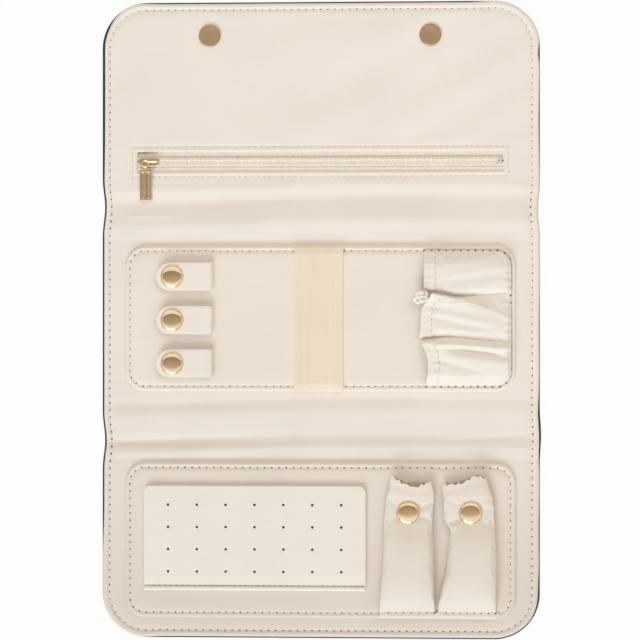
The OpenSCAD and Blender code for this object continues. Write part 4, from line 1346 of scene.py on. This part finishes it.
def make_leaf():
    """A stiff leaf with real holes, sewn down along its lower edge only."""
    low, high = corners("earring_leaf")
    holes = leaf_holes()
    stops_x = sorted({round(hx + s * HOLE_CELL, 4) for hx, _ in holes for s in (-1, 1)})
    stops_y = sorted({round(hy + s * HOLE_CELL, 4) for _, hy in holes for s in (-1, 1)})
    rim = [0, 0.08, 0.2, 0.4, 0.7, 1.1]
    x_lines = keep_cells_whole(lines(low[0], high[0], 2.2, rim, stops=stops_x), stops_x)
    y_lines = keep_cells_whole(lines(low[1], high[1], 2.2, rim, LEAF_R, stops=stops_y), stops_y)
    x, y = rounded_grid(low[:2], high[:2], LEAF_R, x_lines, y_lines)
    x = np.where(y < low[1] + LEAF_R, x_lines[None, :], x)
    keep, cells = holed_cells(x, y, holes)

    def surface(px, py):
        """The leaf's upper face: it lies a little wavy and stands higher at its free end."""
        inset = np.minimum(np.minimum(px - low[0], high[0] - px), high[1] - py)
        wave = 0.16 * np.sin(px / 15 + 0.4) * np.sin(py / 11) + 0.5 * smooth(-120, -90, py)
        rim_z = high[2] - 0.45 * (1 - smooth(0, 0.7, inset))
        return rim_z + wave - 0.35 * smooth(5, 0, py - low[1])
    under = corners("earring_leaf_backing")[0][2] + 0.3 * smooth(-120, -90, y)
    points, faces = shell_parts(x, y, surface(x, y), under, keep, open_cells=True)
    faces = faces.tolist()
    slots = [0] * len(faces)
    squares = grid_cells(x.shape)
    for cell, (hx, hy) in zip(cells, holes):
        turn = np.radians(225) + np.arange(HOLE_SIDES) * 2 * np.pi / HOLE_SIDES
        cx, cy = hx + HOLE_R * np.cos(turn), hy + HOLE_R * np.sin(turn)
        faces += hole_faces(squares[cell], x.size, len(points))
        points = np.concatenate([
            points, flat_points(cx, cy, surface(cx, cy) - HOLE_DIP),
            flat_points(cx, cy, np.full(HOLE_SIDES, under[cell] + 0.05))])
        # painted shade: each hole's wall is near black for the shade inside it
        slots += [0] * HOLE_COLLARS + [1] * HOLE_SIDES
    piece = mesh_object("earring_leaf_cloth", points, faces, LEAF, HOLE_SHADE, slots=slots, sharp=50)
    place(piece, "earring_leaf", "lining_suede", "earring_leaf", "earring_leaf_backing")
    make_leaf_hem(low, high)


def keep_cells_whole(grid_lines, stops):
    """Drops the lines that would cross a hole's cell, which lies between two stops."""
    pairs = list(zip(stops[::2], stops[1::2]))
    return np.array([
        at for at in grid_lines if not any(a + 1e-6 < at < b - 1e-6 for a, b in pairs)])


def hole_faces(square, count, start):
    """The faces from a cell's corners to its round hole, and the hole's wall. A corner's point
    on the underside is count further on. The hole's own points begin at start, upper ones first."""
    quarter = HOLE_SIDES // 4
    faces = []
    for side in range(4):
        arc = [(side * quarter + k) % HOLE_SIDES for k in range(quarter + 1)]
        corner, following = square[side], square[(side + 1) % 4]
        faces.append([corner, following] + [start + k for k in reversed(arc)])
        faces.append([following + count, corner + count] + [start + HOLE_SIDES + k for k in arc])
    return faces + [[i + start for i in face] for face in ring_faces(2, HOLE_SIDES)]


def make_leaf_hem(low, high):
    """The leaf's sewn lower edge: a rounded lip with a stitch line above it."""
    hem_y = corners("earring_leaf_hem")[0][1]
    y_lines = np.array([0, 0.1, 0.25, 0.5, 0.9, 1.4, 1.8, 2.15, 2.4, 2.6, 2.85])
    height = np.array([0.2, 0.75, 1.1, 1.4, 1.55, 1.6, 1.5, 1.2, 0.5, 0.25, 0.25])
    x_lines = lines(low[0], high[0], 3.0, [0, 0.1, 0.25, 0.5, 1])
    x, y = np.meshgrid(x_lines, hem_y + y_lines)
    ends = smooth(0, 0.5, np.minimum(x - low[0], high[0] - x))
    top = PANEL_Z + height[:, None] * (0.35 + 0.65 * ends)
    piece = shell("earring_leaf_lip", x, y, top, PANEL_Z - 0.3, LEAF)
    place(piece, "base", "lining_suede", "earring_leaf_hem")
    seam_y = hem_y + 2.65
    spots = spaced_along(np.array([(low[0] + 2, seam_y), (high[0] - 2, seam_y)]), HEM_PITCH)
    stitch = sew("earring_leaf_stitches", spots, lambda x, y: PANEL_Z + 0.35, HEM_PITCH, hole=0.3,
                 thread=0.2)
    place(stitch, "base", "lining_suede")


# ---- Ring rolls ----

ROLL_SEAM_Y = -159.9        # the line of stitches that the rolls turn up from
ROLL_CLOTH = 0.6            # thickness of the rolls' cloth
ROLL_SIDES = 120
# Each roll's outline: its sides are (y, x) pairs, and its open end's front and back (x, y) pairs.
# gape is how far the open end stands up, and a dent is its depth, start, end and width.
ROLLS = {
    "left": {
        "low_side": [(-161.3, 32.9), (-150, 33.4), (-132, 34.6), (-118, 35.2), (-110, 35.6),
                     (-98, 36.9), (-86, 39.4)],
        "high_side": [(-161.3, 63.2), (-140, 63.2), (-124, 62.9), (-110, 62.1), (-102, 62.4),
                      (-95, 63.0), (-86, 61.2)],
        "front_end": [(35, -84.0), (40, -85.0), (45, -88.4), (51, -90.6), (57, -89.6), (64, -87.8)],
        "back_end": [(35, -84.2), (42, -86.4), (48, -88.0), (56, -88.3), (64, -87.0)],
        "gape": 1.6,
        "dents": [(-0.9, (54.5, -103.0), (63.5, -98.5), 1.7), (-0.5, (55, -107), (63, -110), 1.9),
                  (-0.25, (44, -103), (37.5, -97), 2.2)],
        "stitches": (33.6, 63.0),
    },
    "right": {
        "low_side": [(-161.3, 64.8), (-152, 65.6), (-134, 69.3), (-119, 70.9), (-112.5, 71.4),
                     (-107, 68.6), (-98, 67.9), (-86, 67.3)],
        "high_side": [(-161.3, 96.4), (-140, 96.9), (-126, 96.8), (-110, 95.8), (-97, 94.4),
                      (-86, 90.6)],
        "front_end": [(66, -88.8), (72, -89.9), (80, -87.6), (87, -85.0), (93, -86.2)],
        "back_end": [(66, -88.0), (76, -88.2), (87, -84.6), (93, -85.6)],
        "gape": 0.8,
        "dents": [(-0.9, (77.5, -108.0), (70.5, -111.0), 1.7), (-0.4, (77, -101), (70, -98), 1.9),
                  (-0.3, (87.5, -108), (95, -114), 2.4)],
        "stitches": (65.4, 96.2),
    },
}


def make_roll(side):
    """A stuffed roll of cloth: flat where it's sewn in, full in its middle, pinched at its snap
    and open at its pinked end."""
    plan = ROLLS[side]
    seam_y, start_y = ROLL_SEAM_Y, corners("ring_roll_hems")[0][1] + 0.25
    end_y = corners(f"ring_roll_{side}")[1][1]
    snap_x, snap_y, _ = middle_of(f"ring_snap_{side}")
    crown = [(start_y, 0.35), (start_y + 0.4, 0.95), (start_y + 1.2, 1.3), (seam_y - 1.2, 1.3),
             (seam_y - 0.5, 1.05), (seam_y, 0.75), (seam_y + 0.5, 1.05), (seam_y + 1.5, 1.9),
             (seam_y + 5, 4.8), (seam_y + 11, 7.0), (snap_y - 30, 8.3), (snap_y - 16, 7.4),
             (snap_y - 6.5, 4.9), (snap_y, 4.5), (snap_y + 6, 4.7), (end_y, 4.6 + plan["gape"])]
    floor = [(start_y, 0.15), (seam_y, 0.15), (seam_y + 9, 0.3), (snap_y - 16, 0.3),
             (snap_y - 7, 1.9), (snap_y, 2.1), (end_y, 1.7)]
    length = end_y - start_y
    near = np.array([0, 0.15, 0.4, 0.8, 1.3, 1.9, 2.4, 2.8, 3.15, 3.5, 3.9, 4.4, 5.0]) / length
    along = np.concatenate([near, np.linspace(5.8 / length, 1, 78)])
    turn = full_turn(ROLL_SIDES)
    c, s = np.cos(turn), np.sin(turn)
    level = start_y + length * along
    left, right = curve_through(plan["low_side"], level), curve_through(plan["high_side"], level)
    half_x, mid_x = (right - left) / 2, (right + left) / 2
    x = mid_x[:, None] + half_x[:, None] * (np.sign(c) * np.abs(c) ** 0.72)[None, :]
    front, back = curve_through(plan["front_end"], x[-1]), curve_through(plan["back_end"], x[-1])
    share = smooth(-0.25, 0.25, s)
    teeth = np.abs(((x[-1] / 4.1 + 0.37 * (s > 0) + 0.2 * np.sin(x[-1])) % 1.0) * 2 - 1)
    reach = back + (front - back) * share + 1.5 * teeth * (1 - bump(0, 0.25, s)) - 0.9
    y = start_y + along[:, None] * (reach[None, :] - start_y)
    top = PANEL_Z + curve_through(crown, y)
    under = PANEL_Z + curve_through(floor, y)
    round_z = np.sign(s) * np.abs(s) ** np.where(s > 0, 0.85, 0.6)
    z = (top + under) / 2 + (top - under) / 2 * round_z[None, :]
    z = z + creases(plan["dents"], x, y) * smooth(0.05, 0.6, s)
    at_snap = smooth(7.5, 5.0, np.hypot(x - snap_x, y - snap_y))
    sewn = smooth(0.13, 0.08, along)[:, None]
    pinked = 0.8 * smooth(0.93, 0.99, along)[:, None]
    below = smooth(0.0, -0.35, s)[None, :] * 0.9
    hold = np.clip(np.maximum(np.maximum(at_snap, sewn + 0 * x), np.maximum(pinked, below)), 0, 1)
    points = settle(
        flat_points(x, y, z), flipped(ring_faces(*x.shape)), hold.ravel(), pressure=1.6,
        grow=0.010, cap=1.0, bend=2.0)
    points[:, 2] = np.maximum(points[:, 2], PANEL_Z + 0.14)
    # the turned-in inside takes the dark tan painted shade of the rolls' mouths
    points, faces, slots = turned_in(points.reshape(*x.shape, 3), int(len(x) * 0.82))
    piece = mesh_object(
        f"ring_roll_{side}_cloth", points, faces, ROLL, ROLL_INSIDE_SHADE, slots=slots, sharp=60)
    roll_blend(piece)
    dress(piece, "lining_suede", f"ring_roll_{side}", f"ring_filling_{side}")
    make_cap(f"ring_roll_{side}_cap", f"ring_roll_{side}", f"ring_snap_{side}", PANEL_Z + 0.9)


def turned_in(rings, deepest):
    """A tube of rings that turns in at its last ring, as a sock does, down to the deepest ring."""
    inner = rings[deepest:][::-1]
    middle = inner.mean(axis=1, keepdims=True)
    half = (inner.max(axis=1, keepdims=True) - inner.min(axis=1, keepdims=True)) / 2
    shrink = np.maximum(1 - ROLL_CLOTH / np.maximum(half, 0.01), 0.1)
    shrink[..., 1] = 1
    inner = middle + (inner - middle) * shrink
    every = np.concatenate([rings, inner])
    rows, sides = every.shape[:2]
    faces = [[a, d, c, b] for a, b, c, d in ring_faces(rows, sides)] + end_caps(rows, sides)
    slots = np.repeat(np.arange(rows - 1) >= len(rings), sides).astype(int).tolist() + [0, 1]
    return every.reshape(-1, 3), faces, slots


def roll_blend(piece):
    """Bakes a piece's place into its mesh."""
    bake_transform(piece)


def make_roll_hems():
    """The seam allowance under the rolls, with a tuck between them, and the rolls' stitches."""
    low, _ = corners("ring_roll_hems")
    y_lines = np.array([0, 0.1, 0.3, 0.6, 1.0, 1.8, 2.6, 3.4])
    height = np.array([-0.9, -0.3, 0.0, 0.12, 0.14, 0.14, 0.10, 0.02])
    x_lines = lines(32.8, 98.0, 1.0, [0, 0.1, 0.25, 0.5, 1])
    x, y = np.meshgrid(x_lines, low[1] + y_lines)
    tuck = 0.9 * bump(64.2, 1.3, x) * smooth(0, 1.2, y - low[1])
    top = PANEL_Z + height[:, None] + tuck
    piece = shell("ring_roll_allowance", x, y, top, PANEL_Z - 1.2, ROLL)
    place(piece, "base", "lining_suede", "ring_roll_hems")
    for side, plan in ROLLS.items():
        spots = spaced_along(np.array([(x, ROLL_SEAM_Y) for x in plan["stitches"]]))
        stitch = sew(
            f"ring_roll_{side}_stitches", spots, lambda x, y: PANEL_Z + 0.80, hole=0.5, thread=0.26)
        roll_blend(stitch)
        dress(stitch, "lining_suede")


# ---- Zip ----

TAPE_THICK = 0.35
COIL_PITCH = 1.45
PULL_DROP = 3.73            # degrees that the pull hangs below level, so that its tip rests


def make_tapes():
    """The two woven tapes. The upper one sinks away at the closed end, where a dark gap shows."""
    offset = np.array([0.5, 0.6, 0.8, 1.4, 2.2, 2.5, 2.75, 3.0, 3.4, 3.9, 4.6, 5.4, 6.4, 7.6, 7.8])
    for name, sign in (("upper", 1), ("lower", -1)):
        low, high = corners("zip_tape_" + name)
        x, reach = np.meshgrid(np.linspace(low[0], high[0], 140), offset)
        end = smooth(-85.0, -98.5, x) if name == "upper" else np.zeros_like(x)
        y = ZIP_Y + sign * (reach - end * 3.3 * smooth(2.4, 6, reach))
        ripple = 0.07 * np.sin(x / 6.1 + sign) * smooth(2.6, 5, reach)
        thread_line = hills([(-0.38, 2.75, 0.28), (0.10, 3.4, 0.4)], reach)
        top = high[2] + ripple + thread_line - 1.1 * end * smooth(2.4, 5.0, reach)
        x, y, top = (part[::sign] for part in (x, y, top))
        piece = shell("tape_" + name, x, y, top, top - TAPE_THICK, TAPE)
        place(piece, "flap", "pocket_cloth", "zip_tape_" + name)


def make_coils():
    """Two nylon coils whose heads lock between each other, each sewn on by two threads."""
    for name, sign in (("upper", 1), ("lower", -1)):
        low, high = corners("zip_coil_" + name)
        turns = (high[0] - low[0] - 1.2) / COIL_PITCH
        t = np.arange(0, turns * 12) / 12 * 2 * np.pi
        x = low[0] + 0.6 + COIL_PITCH * t / (2 * np.pi) + (COIL_PITCH / 2 if sign > 0 else 0)
        mid_y, mid_z = ZIP_Y + sign * 1.08, low[2] + 0.42
        lean = 0.35 * np.sin(t) * sign
        path = np.stack([
            x + lean, mid_y - sign * 1.16 * np.cos(t), mid_z + 0.30 * np.sin(t)], axis=-1)
        wire = tube(path[path[:, 0] < high[0] - 0.4], 0.34, 7)
        core = np.array([(at, mid_y, mid_z) for at in np.linspace(x[0], high[0] - 0.6, 60)])
        parts = [merge([wire, tube(core, 0.85, 8, flat=0.3)])[:2]]
        wave = np.arange(low[0] + 0.5, high[0] - 0.5, 0.35)
        for reach in (0.95, 1.7):
            line = np.stack([
                wave, np.full_like(wave, ZIP_Y + sign * reach),
                high[2] - 0.16 + 0.07 * np.sin(wave * 2 * np.pi / COIL_PITCH)], axis=-1)
            parts.append(tube(line, 0.11, 5))
        points, faces, slots = merge(parts)
        slots = np.minimum(slots, 1)
        piece = mesh_object("coil_" + name, points, faces, COIL, THREAD, slots=slots, sharp=0)
        place(piece, "flap", "zip_coil", "zip_coil_" + name)


def block(outline, low_z, high_z):
    """Points and faces of an outline of (x, y) points drawn up from low_z to high_z."""
    points = [(x, y, z) for z in (low_z, high_z) for x, y in outline]
    count = len(outline)
    return np.array(points), flipped(end_caps(2, count)) + ring_faces(2, count)


def make_slider():
    """The slider: a shield-shaped top plate with turned-down sides, a lower plate and a bail."""
    low, high = corners("zip_slider")
    mid_y = middle_of("zip_slider")[1]
    length, half = high[0] - low[0], (high[1] - low[1]) / 2
    plan = [(0.0, 0.40), (0.03, 0.62), (0.10, 0.80), (0.25, 0.95), (0.5, 1.0), (0.72, 0.90),
            (0.88, 0.72), (0.97, 0.52), (1.0, 0.34)]
    lower = [(low[0] + length * s, mid_y - half * w) for s, w in plan]
    outline = lower + [(x, 2 * mid_y - y) for x, y in reversed(lower)]
    inner = [(low[0] + (x - low[0]) * 0.94 + 0.3, mid_y + (y - mid_y) * 0.86) for x, y in outline]
    plate = mesh_object("slider_plate", *block(outline, high[2] - 2.05, high[2] - 1.3), PULL_GOLD)
    bevel(plate, 0.32, 3)
    foot = mesh_object("slider_foot", *block(inner, low[2], low[2] + 0.5), GOLD)
    bevel(foot, 0.15)
    sides = []
    for sign in (-1, 1):
        side_y = mid_y + sign * (half - 0.28)
        sides.append(block(
            [(low[0] + 2, side_y - 0.25), (high[0] - 3, side_y - 0.25),
             (high[0] - 3, side_y + 0.25), (low[0] + 2, side_y + 0.25)], 3.4, high[2] - 1.9))
    points, faces, _ = merge(sides)
    lips = mesh_object("slider_lips", points, faces, GOLD)
    bevel(lips, 0.12)
    left, right = low[0] + 3.85, high[0] - 0.65
    bar_z = high[2] - 0.42
    bend = [(0, high[2] - 1.5), (0, bar_z - 0.45), (0.15, bar_z - 0.15), (0.5, bar_z)]
    arch = [(left + x, mid_y, z) for x, z in bend]
    arch += [(x, mid_y, bar_z + 0.05) for x in np.linspace(left + 1.1, right - 1.1, 6)]
    arch += [(right - x, mid_y, z) for x, z in reversed(bend)]
    bail = mesh_object("slider_bail", *tube(arch, 0.5, 10), GOLD, sharp=70)
    for piece, nodes in ((plate, ["zip_slider"]), (foot, []), (lips, []), (bail, [])):
        place(piece, "zip_slider", "gold_metal", *nodes)


def make_pull():
    """The pull: a ring on the bail, a collar and a blade with two long grooves."""
    low, high = corners("zip_pull")
    axis = pivot("zip_pull_turn")
    tip_y = low[1]
    drop = math.radians(PULL_DROP)
    plane_z = axis[2] - 0.05

    def tilt(points, faces):
        """Lowers a flat shape's far end about the bail, as the pull lies on the lining."""
        points = np.array(points, float)
        reach = axis[1] - points[:, 1]
        rise = points[:, 2] - plane_z
        points[:, 1] = axis[1] - reach * math.cos(drop) + rise * math.sin(drop)
        points[:, 2] = plane_z - reach * math.sin(drop) + rise * math.cos(drop)
        return points, faces

    mid, half = (low[0] + high[0]) / 2, (high[0] - low[0]) / 2
    collar_y = axis[1] - 5.6
    right = np.array([0.1, 0.26, 0.36, 0.5, 0.62, 0.72, 0.9, 0.97, 1])
    right_depth = np.array([0, -0.10, -0.42, -0.42, -0.10, 0, 0, -0.05, -0.25])
    across = np.concatenate([-right[::-1], right])
    depth = np.concatenate([right_depth[::-1], right_depth])
    y_lines = np.concatenate([
        tip_y + np.array([0, 0.1, 0.3, 0.7, 1.1, 1.5]),
        np.linspace(tip_y + 2.2, collar_y - 1.2, 12), [collar_y - 0.6, collar_y]])
    x, y = np.meshgrid(mid + half * across, y_lines)
    in_groove = smooth(0.9, 1.5, y - tip_y) * smooth(0, 0.8, collar_y - y)
    edge = np.abs(across) > 0.85
    top = plane_z + 0.4 + depth * np.where(edge, 1, in_groove)
    top = top - 0.12 * (1 - smooth(0, 0.5, y - tip_y))
    blade = shell_parts(x, y, top, np.full_like(x, plane_z - 0.4))
    collar = block(
        [(mid - half, collar_y - 0.2), (mid + half, collar_y - 0.2),
         (mid + half, collar_y + 0.9), (mid + 1.6, collar_y + 1.6),
         (mid - 1.6, collar_y + 1.6), (mid - half, collar_y + 0.9)], plane_z - 0.45, plane_z + 0.5)
    ring_y, turn = axis[1] - 1.25, full_turn(28)
    circle = flat_points(
        mid - 0.1 + 1.75 * np.cos(turn), ring_y + 1.75 * np.sin(turn), np.full(28, plane_z + 0.1))
    ring = tube(circle, 0.5, 10, closed=True, flat=0.9)
    neck = tube([
        (mid, ring_y - 1.6, plane_z + 0.08), (mid, ring_y - 2.4, plane_z + 0.05),
        (mid, collar_y + 0.8, plane_z + 0.02)], 0.75, 10, flat=0.6)
    points, faces, slots = merge([tilt(*part) for part in (blade, collar, ring, neck)])
    slots = np.minimum(slots, 1)
    piece = mesh_object("pull", points, faces, PULL_GOLD, GOLD, slots=slots, sharp=45)
    bevel(piece, 0.08, angle=50)
    place(piece, "zip_pull", "gold_metal", "zip_pull")


def make_end_stop():
    """The small metal stop at the zip's right end."""
    low, high = corners("zip_end_stop")
    middle = middle_of("zip_end_stop")
    half = high - middle
    outline = [
        (middle[0] + half[0] * c, middle[1] + half[1] * s)
        for c, s in ((-1, -0.8), (-0.6, -1), (0.6, -1), (1, -0.8), (1, 0.8), (0.6, 1), (-0.6, 1),
                     (-1, 0.8))]
    piece = mesh_object("end_stop", *block(outline, low[2], high[2]), STOP_METAL)
    bevel(piece, 0.2)
    place(piece, "flap", "gold_metal", "zip_end_stop")


# ---- Magnets ----

def make_magnets():
    """Flat brass discs with a turned edge and a shallow plain dish."""
    _, high = corners("magnet_discs")
    radius = MAGNET_R
    far_x, y = high[0] - radius, middle_of("magnet_discs")[1]
    rim_h = high[2] - LINING_Z
    profile = [
        (0.4, -0.05), (radius - 0.5, -0.05), (radius - 0.1, 0.12), (radius, 0.4),
        (radius, rim_h - 0.35), (radius - 0.12, rim_h - 0.12), (radius - 0.4, rim_h),
        (radius - 0.9, rim_h), (radius - 1.15, rim_h - 0.08), (2.6, rim_h - 0.1),
        (2.4, rim_h - 0.16), (1.2, rim_h - 0.17), (0.05, rim_h - 0.17)]
    for name, x, nodes in (("left", -far_x, ["magnet_discs"]), ("right", far_x, [])):
        points, faces = lathe(profile, x, y, min(lining_height(x, y), LINING_Z), 56)
        piece = mesh_object("magnet_" + name, points, faces, BRASS, sharp=60)
        place(piece, "flap", "matt_brass", *nodes)


# ---- Stage, camera and light ----

IMAGE_MM = 350.8            # width of the photograph at the case, so 0.548 mm for each pixel
SENSOR_W = 36
CAMERA_FAR = 2000.0
CAMERA_AIM_Z = 3.0          # height that the photograph's scale holds at
CAMERA_TILT = 4.4           # degrees towards the right, where the case looks a little longer


def make_camera():
    data = bpy.data.cameras.new("camera")
    data.sensor_width = SENSOR_W
    data.lens = SENSOR_W * CAMERA_FAR / IMAGE_MM
    data.clip_start = 0.01
    camera = in_scene("camera", data)
    tilt = math.radians(CAMERA_TILT)
    high = CAMERA_AIM_Z + CAMERA_FAR * math.cos(tilt)
    camera.location = (CAMERA_FAR * MM * math.sin(tilt), 0, high * MM)
    camera.rotation_euler = (0, tilt, 0)
    bpy.context.scene.camera = camera


def area_light(name, place_at, size, power, colour, shines=True):
    """A broad light in metres and watts, which faces the origin. Metal shows it if it shines."""
    data = bpy.data.lights.new(name, "AREA")
    data.shape = "RECTANGLE"
    data.size, data.size_y = size
    data.energy = power
    data.color = colour
    lamp = in_scene(name, data)
    lamp.location = place_at
    lamp.visible_glossy = shines
    lamp.rotation_euler = (-Vector(place_at)).to_track_quat("-Z", "Y").to_euler()


def make_world():
    """Warm light all round, which the camera sees as white."""
    world = bpy.data.worlds.new("studio")
    bpy.context.scene.world = world
    graph = Graph(world)
    light = graph.tree.nodes["Background"]
    light.inputs["Color"].default_value = (1.0, 0.905, 0.79, 1)
    light.inputs["Strength"].default_value = 0.60
    seen = graph.add("Background", Color=(1, 1, 1, 1))
    graph.end(graph.blend(graph.seen_share(), light, seen), "World Output")


def square(middle, half, z):
    """The corners of a level rectangle."""
    return [(middle[0] + sx * half[0], middle[1] + sy * half[1], z)
            for sx, sy in ((-1, -1), (1, -1), (1, 1), (-1, 1))]


def make_floor():
    """A white floor that the camera sees as white, with a trace of the object's shadow."""
    material = bpy.data.materials.new("floor")
    graph = Graph(material)
    white = graph.tree.nodes["Principled BSDF"]
    white.inputs["Base Color"].default_value = (0.9, 0.9, 0.9, 1)
    white.inputs["Roughness"].default_value = 0.9
    glow = graph.add("Emission")
    share = graph.add("Math", operation="MULTIPLY")
    share.inputs[1].default_value = 0.9
    graph.link(graph.seen_share(), share.inputs[0])
    graph.end(graph.blend(share.outputs[0], white, glow), "Material Output")
    points = square((0, 0), (3000.0, 3000.0), -0.05)
    mesh_object("floor", points, [[0, 1, 2, 3]], material, sharp=0)


def make_flag():
    """A grey card above the case, wide and with a soft near edge, which only metal reflects."""
    middle, half = (-40.0, -40.0), (1700.0, 440.0)
    material = bpy.data.materials.new("flag")
    graph = Graph(material)
    apart = graph.add("SeparateXYZ")
    graph.link(graph.add("TexCoord").outputs["Object"], apart.inputs["Vector"])
    ends = {"From Min": (middle[1] - half[1]) * MM, "From Max": (middle[1] + half[1]) * MM}
    share = graph.add("MapRange", **ends)
    graph.link(apart.outputs["Y"], share.inputs["Value"])
    ramp = graph.add("ValToRGB")
    stops = ramp.color_ramp.elements
    stops[0].position, stops[0].color = 0.0, (1.0, 1.0, 1.0, 1)
    stops[1].position, stops[1].color = 0.26, (0.56, 0.50, 0.44, 1)
    stops.new(0.97).color = (0.30, 0.25, 0.20, 1)
    graph.link(share.outputs["Result"], ramp.inputs["Fac"])
    glow = graph.add("Emission")
    graph.link(ramp.outputs["Color"], glow.inputs["Color"])
    graph.end(glow, "Material Output")
    points = square(middle, half, 1150.0)
    flag = mesh_object("flag", points, [[0, 3, 2, 1]], material, sharp=0)
    for rays in ("camera", "diffuse", "shadow", "transmission"):
        setattr(flag, "visible_" + rays, False)


def main():
    bpy.context.scene.view_settings.view_transform = "Standard"
    paint_cad_nodes()
    make_cover()
    make_lining()
    make_edge_stitches()
    make_panels()
    make_band()
    for number in (1, 2, 3):
        make_tab(number)
    make_pockets()
    make_leaf()
    for side in ROLLS:
        make_roll(side)
    make_roll_hems()
    make_tapes()
    make_coils()
    make_slider()
    make_pull()
    make_end_stop()
    make_magnets()
    make_camera()
    make_world()
    make_floor()
    make_flag()
    area_light(
        "key", (-3.0, -10.5, 6.8), size=(9.0, 6.0), power=1080.0, colour=(0.80, 0.89, 1.0))
    area_light(
        "fill", (0.45, 0.65, 0.95), size=(0.7, 0.7), power=3.0, colour=(0.97, 0.985, 1.0),
        shines=False)


main()
